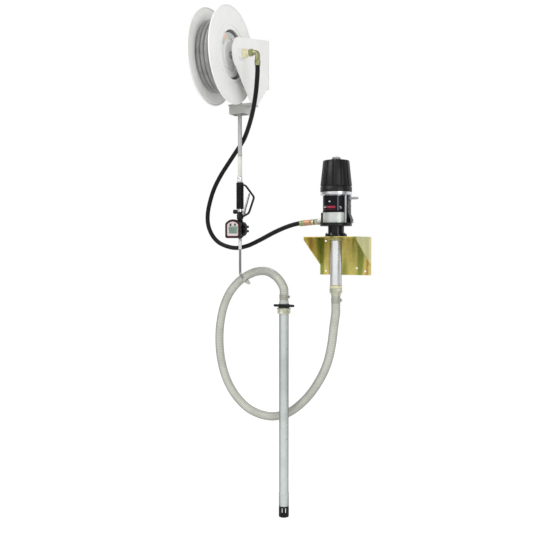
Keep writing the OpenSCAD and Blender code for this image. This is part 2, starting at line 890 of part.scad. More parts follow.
module pump_piston() {
  z0 = pump_piston_bottom;
  cage_r = piston_ball_d / 2 + 2 * run_gap;
  color("#8a8f92") at_pump() difference() {
    rod(z0, z0 + pump_piston_h, stem_bore_d - 2 * run_gap);
    rod(z0 - over, z0 + pump_piston_h / 4 + over, piston_ball_d - 2 * insert_wall);
    rod(z0 + pump_piston_h / 4, z0 + pump_piston_h / 4 + piston_ball_d + ball_lift, 2 * cage_r);
    for (a = [0:90:270]) rotate(a) translate([cage_r, 0, z0 + pump_piston_h / 2])
      cylinder(h = pump_piston_h, d = 2 * insert_wall);
  }
}

// Height of a ball's centre above the edge of the round seat that it rests over
function seated(ball_d, seat_d) =
  sqrt(pow((ball_d + face_gap) / 2, 2) - pow(seat_d / 2, 2));

module piston_ball() {
  z0 = pump_piston_bottom + pump_piston_h / 4;
  color("#cfd2d4") at_pump() translate([0, 0, z0 + seated(piston_ball_d, piston_ball_d - 2 * insert_wall)])
    sphere(d = piston_ball_d);
}

module foot_ball() {
  color("#cfd2d4") at_pump()
    translate([0, 0, foot_seat_z + seated(foot_ball_d, foot_seat_d)]) sphere(d = foot_ball_d);
}

module air_spool() {
  color("#b3a67c") at_pump() difference() {
    rod(spool_bottom, spool_bottom + spool_len, spool_d);
    for (k = spool_groove_shares) tube(spool_bottom + k * spool_len,
      spool_bottom + (k + spool_groove_share) * spool_len,
      spool_d + over, spool_d - 2 * insert_wall);
  }
}

suction_points = concat(
  [[0, -pump_out, suction_top], [0, -pump_out, suction_top - tail_len],
    [0, -pump_out, suction_top - tail_len - suction_d / 2]],
  suction_route,
  [[-pipe_left, -pump_out, pipe_top + tail_len], [-pipe_left, -pump_out, pipe_top]]
);

module suction_hose() {
  color("#c9c9c2") hose(suction_points, suction_d, suction_bore, suction_sides, [0, 1, 0]);
}

// One worm-drive clamp around a vertical hose, its screw housing on the side
module hose_clamp(z0) {
  tube(z0, z0 + clamp_w, suction_d + 2 * clamp_t + 2 * run_gap, suction_d + 2 * run_gap);
  r = suction_d / 2 + clamp_t;
  rotate(atan2(clamp_side[1], clamp_side[0]) - 90) translate([0, r - clamp_t / 2, z0]) {
    translate([-clamp_lug_w / 2, 0, clamp_w / 4]) cube([clamp_lug_w, clamp_screw_d / 2, clamp_w / 2]);
    translate([-clamp_screw_len / 2, clamp_screw_d / 2 + clamp_t / 2, clamp_w / 2])
      rotate([0, 90, 0]) cylinder(h = clamp_screw_len, d = clamp_screw_d);
  }
}

module hose_clamps() {
  color("#8e8f84") {
    at_pump() hose_clamp(suction_top - clamp_inset - clamp_w);
    at_pipe() hose_clamp(pipe_top + clamp_inset);
  }
}

module pipe_hose_tail() {
  color("#d9dbd6") at_pipe() difference() {
    union() {
      rod(pipe_top - over, pipe_top + tail_len, tail_d);
      rod(tube_top, pipe_top, pipe_collar_d);
    }
    rod(tube_top - over, pipe_top + tail_len + over, tail_d - 2 * tail_wall);
  }
}

module suction_tube() {
  color("#bcc5c2") at_pipe() difference() {
    union() {
      rod(pipe_end, tube_top, pipe_d);
      rod(pipe_end, pipe_end + swage_len, foot_d);
    }
    rod(pipe_end - over, tube_top + over, pipe_d - 2 * pipe_wall);
  }
}

module foot_strainer() {
  z0 = pipe_end - foot_h;
  color("#1b1b1c") at_pipe() difference() {
    union() {
      rod(z0, pipe_end, foot_d);
      rod(pipe_end - over, pipe_end + foot_socket, pipe_d - 2 * pipe_wall);
    }
    rod(z0 + foot_wall, pipe_end + foot_socket + over, pipe_d - 2 * pipe_wall - 2 * foot_wall);
    for (i = [0:foot_slots - 1]) rotate(360 * i / foot_slots)
      translate([0, -foot_slot_w / 2, z0 + foot_slot_margin])
      cube([foot_d, foot_slot_w, foot_h - 2 * foot_slot_margin]);
  }
}

module bung_adapter() {
  color("#c3cbbb") at_pipe() difference() {
    union() {
      rod(bung_bottom, bung_top - over, bung_d);
      translate([0, 0, bung_top - bung_rim_h]) cylinder(h = bung_rim_h - insert_wall, d = bung_rim_d);
      translate([0, 0, bung_top - insert_wall])
        cylinder(h = insert_wall, d1 = bung_rim_d, d2 = wing_sleeve_d + 2 * insert_wall);
    }
    rod(wing_top - wing_h - wing_sleeve_h - face_gap, bung_top + over, wing_sleeve_d + 2 * run_gap);
    rod(bung_bottom - over, bung_top + over, pipe_d + 2 * run_gap);
  }
}

module bung_wing_nut() {
  z0 = wing_top - wing_h;
  color("#1d1f1f") at_pipe() difference() {
    union() {
      rod(z0, wing_top, wing_hub_d);
      translate([-wing_span / 2 + wing_w / 2, -wing_w / 2, z0])
        cube([wing_span - wing_w, wing_w, wing_h]);
      for (s = [-1, 1]) translate([s * (wing_span - wing_w) / 2, 0, 0]) rod(z0, wing_top, wing_w);
      rod(z0 - wing_sleeve_h, z0 + over, wing_sleeve_d);
    }
    rod(z0 - wing_sleeve_h - over, wing_top + over, pipe_d + 2 * run_gap);
  }
}

// Reel pieces, along the axle: their z is the row's +x, from the reel's middle
module reel_frame() {
  color("#e9e9e4") {
    difference() {
      translate([reel_plate_right - reel_plate_w, -frame_t, reel_plate_mid - reel_plate_h / 2])
        cube([reel_plate_w, frame_t, reel_plate_h]);
      translate([reel_plate_right - reel_plate_w / 2 - plate_bolts_left, 0, reel_plate_mid])
        bolt_holes(reel_bolt_dx, reel_bolt_dz, reel_bolt_d);
    }
    difference() {
      union() {
        side_on(-reel_left + arm_left, frame_t) union() {
          translate([-reel_out, reel_up]) circle(r = arm_r);
          polygon([
            [-reel_out, reel_up + arm_r],
            [-frame_t, reel_plate_mid + reel_plate_h / 2 - arm_corner],
            [-frame_t, reel_plate_mid - reel_plate_h / 2 + arm_corner],
            [-gun_out + guide_plate_deep / 2 - arm_front_step, guide_top],
            [-gun_out - guide_plate_deep / 2, guide_top],
            [-reel_out - arm_r * cos(arm_under_angle), reel_up - arm_r * sin(arm_under_angle)]
          ]);
        }
        at_reel() rod(arm_left + over, boss_right, boss_d);
      }
      at_reel() rod(arm_left - over, boss_right + over, axle_d);
    }
  }
}

module reel_axle() {
  left = -drum_gap / 2 - flange_t - face_gap;
  color("#d5d5d0") at_reel() union() {
    rod(left - washer_h, left, washer_d);
    rod(left - over, boss_right, axle_d);
    rod(hub_right + face_gap, arm_left, spacer_d);
  }
}

module reel_swivel() {
  color("#d9d2b0") at_reel() {
    rod(boss_right, boss_right + swivel_big_len, swivel_big_d);
    rod(boss_right + swivel_big_len - over, boss_right + swivel_len, swivel_small_d);
  }
}

module inlet_elbow() {
  x0 = -reel_left + boss_right + swivel_len;
  color("#9c9b62") difference() {
    translate([0, -reel_out, 0]) union() {
      translate([x0, 0, reel_up]) rotate([0, 90, 0])
        cylinder(h = elbow_nut_h, d = elbow_nut_d, $fn = 6);
      translate([x0, 0, reel_up]) rotate([0, 90, 0])
        cylinder(h = delivery_start_x - elbow_bend_r - x0, d = elbow_d);
      translate([delivery_start_x - elbow_bend_r, 0, reel_up - elbow_bend_r]) rotate([90, 0, 0])
        rotate_extrude(angle = 90) translate([elbow_bend_r, 0]) circle(d = elbow_d);
      translate([delivery_start_x, 0, 0]) {
        rod(delivery_top, reel_up - elbow_bend_r, elbow_d);
        rod(delivery_top - 2 * insert_wall - delivery_bore, delivery_top + over, delivery_bore);
      }
    }
    translate([delivery_start_x, -reel_out, 0])
      rod(delivery_top - 3 * delivery_bore, reel_up - 2 * elbow_bend_r, delivery_bore - 2 * insert_wall);
  }
}

module hose_guide() {
  box_bottom = guide_top - guide_plate_t - guide_box_h;
  inner_w = guide_box_w - 2 * guide_wall;
  inner_d = guide_box_deep - 2 * guide_wall;
  color("#b9bab4") at_gun() difference() {
    union() {
      translate([-guide_plate_left, -guide_plate_deep / 2, guide_top - guide_plate_t])
        cube([guide_plate_left + guide_plate_right, guide_plate_deep, guide_plate_t]);
      difference() {
        translate([-guide_box_w / 2, -guide_box_deep / 2, box_bottom])
          cube([guide_box_w, guide_box_deep, guide_box_h + over]);
        translate([-inner_w / 2, -inner_d / 2, box_bottom - over])
          cube([inner_w, inner_d, guide_box_h + 3 * over]);
      }
      for (s = [-1, 1]) translate([-guide_box_w / 2, s * roller_y, roller_z]) rotate([0, 90, 0])
        cylinder(h = guide_box_w, d = roller_pin_d);
    }
    translate([-inner_w / 2, -inner_d / 2, guide_top - guide_plate_t - over])
      cube([inner_w, inner_d, guide_plate_t + 2 * over]);
  }
}

module guide_roller(s) {
  color("#8d8e8a") at_gun() translate([-roller_len / 2, s * roller_y, roller_z]) rotate([0, 90, 0])
    tube(0, roller_len, roller_d, roller_pin_d + 2 * run_gap);
}

module flange_profile(r_in, r_out, x0, out) {
  x1 = out > 0 ? x0 : x0 - flange_t;
  translate([r_in, x1]) square([r_out - rolled_edge_d / 2 - r_in, flange_t]);
  translate([r_out - rolled_edge_d / 2, x0 + out * flange_t / 2]) circle(d = rolled_edge_d, $fn = 24);
  translate([barrel_d / 2 + ridge_w, out > 0 ? x0 : x0 - flange_t - ridge_h])
    square([ridge_w, flange_t + ridge_h]);
}

module drum_flanges() {
  color("#ecece8") at_reel() {
    rotate_extrude() union() {
      flange_profile(opening_d / 2, flange_d / 2, drum_gap / 2, 1);
      translate([opening_d / 2, drum_gap / 2]) square([2 * barrel_wall, flange_t + lip_h]);
    }
    rotate_extrude()
      flange_profile(axle_d / 2 + hub_wall + run_gap, flange_d / 2, -drum_gap / 2, -1);
  }
}

module drum_core() {
  hub_d = axle_d + 2 * hub_wall;
  color("#d6d7d2") at_reel() difference() {
    union() {
      tube(-drum_gap / 2, drum_gap / 2, barrel_d, barrel_d - 2 * barrel_wall);
      rod(-drum_gap / 2, -drum_gap / 2 + flange_t, barrel_d - barrel_wall);
      rod(-drum_gap / 2 - flange_t, hub_right, hub_d);
    }
    rod(-drum_gap / 2 - flange_t - over, hub_right + over, axle_d + 2 * run_gap);
  }
}

module spring_case() {
  hub_d = axle_d + 2 * hub_wall;
  color("#e4e4df") at_reel() difference() {
    union() {
      rod(-drum_gap / 2 + flange_t, case_right, spring_case_d);
      rod(case_right - over, case_right + ridge_h, spring_case_d * case_cap_share);
    }
    rod(-drum_gap / 2, case_right + ridge_h + over, hub_d);
    tube(case_left, case_right - case_wall, spring_case_d - 2 * case_wall, hub_d - over);
  }
}

module main_spring() {
  color("#6f7477") at_reel()
    tube(case_left, case_right - case_wall, spring_case_d - 2 * case_wall, spring_case_d * spring_bore_share);
}

// Outer layer of hose: one tube, its turns climbing from the left flange
turn_steps = round(hose_turns * rings_per_turn);
function wind_point(i) =
  let (a = 360 * (hose_turns - i / rings_per_turn))
  reel_centre + [wind_start_x + hose_pitch * i / rings_per_turn, wind_r * cos(a), wind_r * sin(a)];
wind_turns = [for (i = [0:turn_steps]) wind_point(i)];
wind_points = concat(
  [wind_turns[0] + [0, hose_d, 0]],
  wind_turns,
  [wind_turns[turn_steps] - [0, 0, hose_d]]
);
wind_gap = min([for (i = [0:turn_steps - far_steps], j = [i + far_steps:turn_steps])
  norm(wind_turns[i] - wind_turns[j])]) - hose_d;
echo(winding_least_gap_mm = wind_gap);

module hose_winding() {
  color("#c2c3be") {
    lead(wind_points, hose_d, hose_sides, [1, 0, 0]);
    at_reel() tube(-drum_gap / 2 + face_gap, drum_gap / 2 - face_gap, layers_d,
      barrel_d + 2 * face_gap);
    // The step where the hose rises from the layer below
    translate(wind_points[0] + [-hose_d / 2, 0, -hose_d / 2])
      cube([hose_d, hose_d, hose_d + 4 * sheet_t]);
  }
}

hang_top = reel_up - hose_d;
hang_steps = 11;
module reel_hose() {
  color("#c2c3be") lead(
    [for (i = [0:hang_steps]) [gun_x, -gun_out, hang_top + (gun_top - hang_top) * i / hang_steps]],
    hose_d, hose_sides, [1, 0, 0]
  );
}

module hose_swivel_nut() {
  color("#c4c6c6") at_gun() difference() {
    union() {
      rod(swivel_bottom + swivel_h / 2, gun_top, swivel_d);
      translate([0, 0, swivel_bottom])
        cylinder(h = swivel_h / 2 + over, d = swivel_d + 2 * insert_wall, $fn = 6);
    }
    rod(swivel_bottom - over, swivel_bottom + inlet_tail_h + face_gap, inlet_tail_d + 2 * run_gap);
    rod(swivel_bottom, gun_top + over, delivery_bore - 2 * insert_wall);
  }
}

module gun_body() {
  color("#c8cacb") at_gun() difference() {
    union() {
      rod(grip_top, swivel_bottom + inlet_tail_h, inlet_tail_d);
      rod(valve_bottom, guard_ring_top, gun_tube_d);
      translate([-valve_w / 2, -valve_deep / 2, valve_bottom]) cube([valve_w, valve_deep, valve_h]);
      rod(meter_top - port_depth, valve_bottom + over, low_tube_d);
      for (s = [-1, 1]) translate([valve_w / 2 - over, 0, valve_bottom]) {
        translate([0, s * (lever_w / 2 + face_gap + lug_t / 2) - lug_t / 2, 0])
          cube([lever_pin_x - valve_w / 2 + lever_pin_d + over, lug_t, lug_h]);
      }
      translate([lever_pin_x, lever_w / 2 + face_gap + lug_t, lever_pin_z]) rotate([90, 0, 0])
        cylinder(h = lever_w + 2 * face_gap + 2 * lug_t, d = lever_pin_d);
    }
    rod(meter_top - port_depth - over, swivel_bottom + inlet_tail_h + over, port_bore_d);
    translate([-valve_w / 2 - over, 0, valve_stem_z]) rotate([0, 90, 0])
      cylinder(h = valve_w + 2 * over, d = valve_stem_d + 2 * run_gap);
  }
}

module valve_cap() {
  color("#1c1b20") at_gun() translate([-valve_w / 2, 0, valve_stem_z]) rotate([0, -90, 0])
    difference() {
      cylinder(h = cap_len, d = cap_d);
      translate([0, 0, -over]) cylinder(h = cap_len + over - cap_wall, d = poppet_d + 2 * insert_wall);
    }
}

module grip_sleeve() {
  grooves = floor(grip_h / grip_groove_step) - 1;
  color("#141416") at_gun() difference() {
    tube(grip_bottom, grip_top, grip_d, gun_tube_d);
    for (i = [1:grooves]) translate([0, 0, grip_bottom + i * grip_groove_step])
      tube(-grip_groove_w / 2, grip_groove_w / 2, grip_d + over, grip_d - 2 * grip_groove_d);
  }
}

function guard_point(k) =
  [guard_reach * guard_shares[k][0], guard_foot + guard_span * guard_shares[k][1]];

module bar_2d(a, b) {
  translate(a) rotate(atan2(b[1] - a[1], b[0] - a[0]))
    translate([0, -guard_t / 2]) square([norm(b - a), guard_t]);
}

module trigger_guard() {
  color("#151517") at_gun() difference() {
    union() {
      rod(grip_top, guard_ring_top, grip_d);
      rod(meter_top + over, valve_bottom, guard_low_d);
      front_plate(guard_w / 2, guard_w) union() {
        for (k = [0:3]) bar_2d(guard_point(k), guard_point(k + 1));
        for (k = [1:3]) translate(guard_point(k)) circle(d = guard_t + 2 * lap);
      }
    }
    rod(grip_top - over, guard_ring_top + over, gun_tube_d);
    rod(meter_top, valve_bottom + over, low_tube_d);
  }
}

module trigger_lever() {
  color("#adaeb0") at_gun() translate([lever_pin_x, 0, lever_pin_z]) rotate([0, lever_tilt, 0])
    difference() {
      union() {
        translate([-lever_t / 2, -lever_w / 2, 0]) cube([lever_t, lever_w, lever_len - lever_w / 2]);
        translate([-lever_t / 2, 0, lever_len - lever_w / 2]) rotate([0, 90, 0])
          cylinder(h = lever_t, d = lever_w);
        translate([0, lever_w / 2, 0]) rotate([90, 0, 0]) cylinder(h = lever_w, d = lever_boss_d);
      }
      translate([0, lever_w / 2 + over, 0]) rotate([90, 0, 0])
        cylinder(h = lever_w + 2 * over, d = lever_pin_d + 2 * run_gap);
    }
}

module valve_stem() {
  low_edge = stem_arm - valve_stem_d / 2;
  tip = lever_pin_x + low_edge * tan(lever_tilt) - lever_t / 2 / cos(lever_tilt) - face_gap;
  color("#b8babc") at_gun() translate([0, 0, valve_stem_z]) rotate([0, 90, 0]) {
    rod(-poppet_left, tip, valve_stem_d);
    rod(-poppet_left, -poppet_left + poppet_h, poppet_d);
  }
}

// Meter outline in x and z, with its lower edge at zero: straight sides under an arch
module meter_outline(inset) {
  w = meter_w - 2 * inset;
  r = corner_r;
  translate([-meter_left, meter_bottom]) union() {
    translate([-w / 2, inset + r]) square([w, meter_h - arch_r + r - inset - r]);
    translate([-w / 2 + r, inset]) square([w - 2 * r, meter_h / 2]);
    for (s = [-1, 1]) translate([s * (w / 2 - r), inset + r]) circle(r = r);
    intersection() {
      translate([0, meter_h - arch_r]) circle(r = arch_r - inset, $fn = 128);
      translate([-w / 2, meter_h - arch_r]) square([w, arch_r]);
    }
  }
}

module meter_body() {
  body_front = meter_front - lip_t - face_t;
  mid = gear_mid;
  color("#1a1a1c") at_gun() difference() {
    union() {
      front_plate(-front_block_back, body_front - front_block_back) meter_outline(bezel_wall);
      front_plate(case_back, case_back + front_block_back + over) union() {
        for (s = [-1, 1]) translate([0, mid + s * gear_dz]) circle(r = case_r);
        translate([-case_r, mid - gear_dz]) square([2 * case_r, 2 * gear_dz]);
        for (s = [-1, 1], t = [-1, 1]) translate([s * lobe_x, mid + t * lobe_dz]) circle(d = lobe_d);
      }
      rod(meter_top - 2 * port_depth, meter_top, top_port_d);
      rod(meter_bottom, meter_bottom + 2 * port_depth, low_port_d);
    }
    for (s = [-1, 1]) translate([0, 0, mid + s * gear_dz])
      front_plate(case_back + over, chamber_depth + over) circle(r = gear_a + gear_gap);
    rod(meter_top - port_depth, meter_top + over, low_tube_d);
    rod(mid + gear_dz, meter_top, port_bore_d);
    rod(meter_bottom - over, mid - gear_dz, port_bore_d);
    rod(meter_bottom - over, meter_bottom + port_depth, nipple_d);
    for (s = [-1, 1]) translate([-meter_left + s * button_dx, 0, meter_bottom + button_up])
      front_plate(-body_front + button_travel * 2, 2 * button_travel + over)
      circle(d = button_d + 2 * button_hole_gap);
  }
  color("#8a8f92") at_gun() for (s = [-1, 1])
    translate([0, 0, mid + s * gear_dz]) front_plate(case_back, chamber_depth) circle(d = gear_pin_d);
}

module meter_rear_cover() {
  color("#202022") at_gun() union() {
    front_plate(case_back + cover_t, cover_t) union() {
      for (s = [-1, 1]) translate([0, gear_mid + s * gear_dz]) circle(r = case_r);
      translate([-case_r, gear_mid - gear_dz]) square([2 * case_r, 2 * gear_dz]);
      for (s = [-1, 1], t = [-1, 1]) translate([s * lobe_x, gear_mid + t * lobe_dz]) circle(d = lobe_d);
    }
    for (s = [-1, 1], t = [-1, 1]) translate([s * lobe_x, 0, gear_mid + t * lobe_dz])
      front_plate(case_back + cover_t + screw_h, screw_h + over) circle(d = screw_d);
  }
}

module meter_bezel() {
  color("#4a1c22") at_gun() union() {
    front_plate(-meter_front + bezel_depth, bezel_depth - lip_t) difference() {
      meter_outline(0);
      meter_outline(bezel_wall);
    }
    front_plate(-meter_front + lip_t, lip_t) difference() {
      meter_outline(0);
      meter_outline(bezel_lip);
    }
  }
}

module meter_face() {
  color("#d9c6c4") at_gun() front_plate(-meter_front + lip_t + face_t, face_t) difference() {
    meter_outline(bezel_wall);
    translate([window_right - meter_left - window_w / 2, meter_bottom + window_up])
      square([window_w, window_h]);
    for (s = [-1, 1]) translate([-meter_left + s * button_dx, meter_bottom + button_up])
      circle(d = button_d + 2 * button_hole_gap);
  }
}

module meter_button(s) {
  color("#26262b") at_gun() translate([-meter_left + s * button_dx, 0, meter_bottom + button_up])
    front_plate(-meter_front + lip_t - button_proud + button_len, button_len) circle(d = button_d);
}

function gear_r(a) = 2 * gear_a * gear_b / (gear_a + gear_b - (gear_a - gear_b) * cos(2 * a));

module oval_gear(s, turn) {
  color("#e4e0d2") at_gun() translate([0, 0, gear_mid + s * gear_dz])
    front_plate(case_back - face_gap, chamber_depth - 2 * face_gap - over) difference() {
      rotate(turn) polygon([for (i = [0:gear_points - 1])
        let (a = 360 * i / gear_points) gear_r(a) * [cos(a), sin(a)]]);
      circle(d = gear_pin_d + 2 * run_gap);
    }
}

module bend_frame() {
  translate([nozzle_r * (1 - cos(nozzle_bend)), 0,
    meter_bottom - nut_h - nozzle_drop - nozzle_r * sin(nozzle_bend)])
    rotate([0, 180 - nozzle_bend, 0]) children();
}

module nozzle_tube() {
  nut_bottom = meter_bottom - nut_h;
  color("#c5c7c8") at_gun() difference() {
    union() {
      translate([0, 0, nut_bottom]) cylinder(h = nut_h, d = nut_d, $fn = 6);
      rod(meter_bottom - over, meter_bottom + port_depth, nipple_d);
      nozzle_run(nozzle_d, nut_bottom + nut_h / 2, tip_stub);
    }
    nozzle_run(nozzle_d - 2 * nozzle_wall, meter_bottom + port_depth + over, tip_stub + over);
  }
}

module nozzle_run(d, z_top, stub) {
  bend_top = meter_bottom - nut_h - nozzle_drop;
  rod(bend_top - lap, z_top, d);
  translate([nozzle_r, 0, bend_top]) rotate([-90, 0, 0]) rotate([0, 0, 180 - nozzle_bend])
    rotate_extrude(angle = nozzle_bend) translate([nozzle_r, 0]) circle(d = d + 2 * lap);
  bend_frame() rod(-lap, stub, d);
}

module nozzle_tip() {
  color("#6b6c70") at_gun() bend_frame() difference() {
    union() {
      translate([0, 0, tip_stub]) cylinder(h = tip_nose / 2, d1 = nozzle_d + nozzle_wall, d2 = tip_d);
      rod(tip_stub + tip_nose / 2 - over / 2, tip_stub + tip_len - tip_nose, tip_d);
      translate([0, 0, tip_stub + tip_len - tip_nose])
        cylinder(h = tip_nose, d1 = tip_d, d2 = nozzle_d + 2 * nozzle_wall);
    }
    rod(tip_stub - over, tip_stub + tip_len + over, nozzle_d - 2 * nozzle_wall);
  }
}

wall_bracket();
pump_neck();
shelf_nut();
stem_tube();
stem_inlet();
base_flange();
motor_base();
outlet_adapter();
air_block();
air_inlet();
air_cylinder();
tie_rods();
head_plate();
muffler_cover();
cover_bolt();
piston_rod();
air_piston();
pump_piston();
piston_ball();
foot_ball();
air_spool();
delivery_hose();
delivery_ferrule();
suction_hose();
hose_clamps();
pipe_hose_tail();
suction_tube();
foot_strainer();
bung_adapter();
bung_wing_nut();
reel_frame();
reel_axle();
reel_swivel();
inlet_elbow();
hose_guide();
guide_roller(-1);  // guide_roller_front
guide_roller(1);  // guide_roller_rear
drum_flanges();
drum_core();
spring_case();
main_spring();
hose_winding();
reel_hose();
hose_swivel_nut();
gun_body();
valve_cap();
grip_sleeve();
trigger_guard();
trigger_lever();
valve_stem();
meter_body();
meter_rear_cover();
meter_bezel();
meter_face();
meter_button(-1);  // button_left
meter_button(1);  // button_right
oval_gear(1, 0);  // oval_gear_upper
oval_gear(-1, 90);  // oval_gear_lower
nozzle_tube();
nozzle_tip();
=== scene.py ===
"""Looks of the wall-mounted pneumatic oil pump kit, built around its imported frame."""

import math

import bpy
from mathutils import Matrix, Vector


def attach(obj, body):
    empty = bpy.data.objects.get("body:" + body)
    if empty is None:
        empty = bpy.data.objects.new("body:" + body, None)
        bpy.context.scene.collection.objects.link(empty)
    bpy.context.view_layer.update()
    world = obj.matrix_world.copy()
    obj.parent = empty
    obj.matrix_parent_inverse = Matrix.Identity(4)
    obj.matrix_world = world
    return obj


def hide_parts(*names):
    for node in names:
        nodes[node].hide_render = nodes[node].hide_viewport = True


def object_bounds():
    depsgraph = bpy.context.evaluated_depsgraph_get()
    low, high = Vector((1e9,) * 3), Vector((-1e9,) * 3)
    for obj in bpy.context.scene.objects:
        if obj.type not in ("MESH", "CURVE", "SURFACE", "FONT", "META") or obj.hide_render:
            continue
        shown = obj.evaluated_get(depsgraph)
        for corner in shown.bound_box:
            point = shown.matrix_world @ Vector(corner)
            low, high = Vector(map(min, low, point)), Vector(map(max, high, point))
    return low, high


bl_info = {
    "name": "Pneumatic oil pump kit",
    "version": (1, 0, 0),
    "blender": (4, 5, 0),
    "location": "View3D > Sidebar > Oil Pump Kit",
    "description": "Dresses an air-operated oil pump with its bracket, hoses, hose reel and metered gun",
    "category": "Object",
}

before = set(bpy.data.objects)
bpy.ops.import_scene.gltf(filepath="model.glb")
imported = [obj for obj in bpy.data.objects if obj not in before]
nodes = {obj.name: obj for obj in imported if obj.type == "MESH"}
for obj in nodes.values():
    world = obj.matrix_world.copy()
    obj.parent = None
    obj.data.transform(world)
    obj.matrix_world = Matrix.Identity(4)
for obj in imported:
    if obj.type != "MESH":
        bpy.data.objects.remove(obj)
cad_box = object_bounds()

MM = 0.001
ROOT = "frame"

PUMP = Vector((0, -0.130, 0))
PIPE = Vector((-0.245, -0.130, 0))
REEL = Vector((-0.467, -0.300, 0.869))
GUN = Vector((-0.451975, -0.1532, 0))

# The hoses' routes in millimetres, the same as in the part's source
DELIVERY_START = [(-295, -300, 810), (-295, -300, 790)]
DELIVERY_ROUTE = [
    (-298, -298, 755), (-312, -280, 705), (-345, -236, 646), (-393, -176, 589), (-448, -124, 528),
    (-493, -112, 477), (-538, -104, 425), (-580, -100, 371), (-614, -100, 312), (-636, -100, 252),
    (-648, -100, 196), (-646, -101, 148), (-627, -102, 101), (-594, -104, 66), (-548, -107, 45),
    (-495, -110, 36), (-437, -113, 45), (-369, -118, 72), (-291, -124, 108), (-226, -129, 132),
]
OUTLET_START = Vector((-62, -130, 153))
OUTLET_DROOP = math.radians(4.5)
OUTLET_AXIS = Vector((-math.cos(OUTLET_DROOP), 0, -math.sin(OUTLET_DROOP)))
SUCTION_START = [(0, -130, -172), (0, -130, -222), (0, -130, -241.5)]
SUCTION_ROUTE = [
    (-9, -127, -300), (-24, -117, -390), (-49, -104, -475), (-94, -90, -560), (-165, -74, -650),
    (-258, -62, -722), (-351, -58, -745), (-444, -58, -724), (-504, -58, -682), (-549, -58, -628),
    (-580, -58, -568), (-602, -58, -489), (-610, -58, -403), (-604, -58, -317), (-582, -58, -230),
    (-544, -60, -163), (-486, -66, -109), (-408, -78, -74), (-339, -98, -72), (-284, -119, -97),
    (-254, -129, -128),
]
SUCTION_END = [(-245, -130, -150), (-245, -130, -200)]


def srgb(red, green, blue):
    """A colour as a picture shows it, 0 to 255, as Blender's linear values."""
    def linear(c):
        c /= 255
        return c / 12.92 if c <= 0.04045 else ((c + 0.055) / 1.055) ** 2.4
    return (linear(red), linear(green), linear(blue))


class KitSizes(bpy.types.PropertyGroup):
    """Sizes of the dressed pieces"""

    delivery_diameter: bpy.props.FloatProperty(
        name="Delivery hose", description="Outer diameter of the black delivery hose",
        default=0.020, min=0.019, max=0.021, unit="LENGTH")
    suction_diameter: bpy.props.FloatProperty(
        name="Suction hose", description="Outer diameter of the spiral suction hose",
        default=0.039, min=0.038, max=0.040, unit="LENGTH")
    suction_wire_pitch: bpy.props.FloatProperty(
        name="Spiral pitch", description="Distance from turn to turn of the suction hose's wire",
        default=0.0075, min=0.005, max=0.012, unit="LENGTH")
    reel_hose_diameter: bpy.props.FloatProperty(
        name="Reel hose", description="Outer diameter of the reel's hose",
        default=0.019, min=0.018, max=0.019, unit="LENGTH")
    nozzle_diameter: bpy.props.FloatProperty(
        name="Nozzle", description="Diameter of the gun's nozzle tube",
        default=0.011, min=0.008, max=0.011, unit="LENGTH")
    cover_groove_width: bpy.props.FloatProperty(
        name="Cover grooves", description="Width of the grooves between the muffler cover's ribs",
        default=0.007, min=0.004, max=0.010, unit="LENGTH")


class KitColours(bpy.types.PropertyGroup):
    """Colours of the dressed pieces"""

    plating_gold: bpy.props.FloatVectorProperty(
        name="Plating, gold", description="Golden patches of the bracket's zinc plating",
        default=srgb(224, 210, 118), subtype="COLOR", size=3, min=0, max=1)
    plating_green: bpy.props.FloatVectorProperty(
        name="Plating, green", description="Greenish patches of the bracket's zinc plating",
        default=srgb(146, 154, 64), subtype="COLOR", size=3, min=0, max=1)
    plating_orange: bpy.props.FloatVectorProperty(
        name="Plating, orange", description="Orange patches of the bracket's zinc plating",
        default=srgb(190, 146, 72), subtype="COLOR", size=3, min=0, max=1)
    hose_black: bpy.props.FloatVectorProperty(
        name="Delivery hose", description="Rubber of the delivery hose",
        default=srgb(17, 17, 18), subtype="COLOR", size=3, min=0, max=1)
    suction_clear: bpy.props.FloatVectorProperty(
        name="Suction hose", description="Wall of the suction hose between its wires",
        default=srgb(212, 212, 202), subtype="COLOR", size=3, min=0, max=1)
    reel_white: bpy.props.FloatVectorProperty(
        name="Reel", description="Powder coat of the hose reel",
        default=srgb(244, 244, 242), subtype="COLOR", size=3, min=0, max=1)
    cover_black: bpy.props.FloatVectorProperty(
        name="Muffler cover", description="Moulded plastic of the muffler cover",
        default=srgb(24, 24, 25), subtype="COLOR", size=3, min=0, max=1)


# Making shader nodes

# A Mix node has one pair of inputs and one result for each kind of value
FLOAT_A, FLOAT_B, FLOAT_RESULT = 2, 3, 0
COLOUR_A, COLOUR_B, COLOUR_RESULT = 6, 7, 2


def feed(tree, made, inputs):
    """Sets a node's inputs to values, or links them to other nodes' outputs."""
    for name, value in inputs.items():
        if isinstance(value, bpy.types.NodeSocket):
            tree.links.new(value, made.inputs[name])
        else:
            made.inputs[name].default_value = value


def node(tree, kind, inputs=None, **settings):
    """A shader node with its settings and inputs."""
    made = tree.nodes.new("ShaderNode" + kind)
    for name, value in settings.items():
        setattr(made, name, value)
    feed(tree, made, inputs or {})
    return made


def noise(tree, vector, scale, detail, roughness=0.5):
    """A noise's value."""
    return node(tree, "TexNoise", {
        "Vector": vector, "Scale": scale, "Detail": detail, "Roughness": roughness}).outputs["Fac"]


def calculate(tree, operation, *values):
    """The result of a Math node."""
    return node(tree, "Math", dict(enumerate(values)), operation=operation).outputs[0]


def scaled(tree, vector, factors):
    """A vector or colour multiplied part by part."""
    made = node(tree, "VectorMath", {0: vector, 1: factors}, operation="MULTIPLY")
    return made.outputs["Vector"]


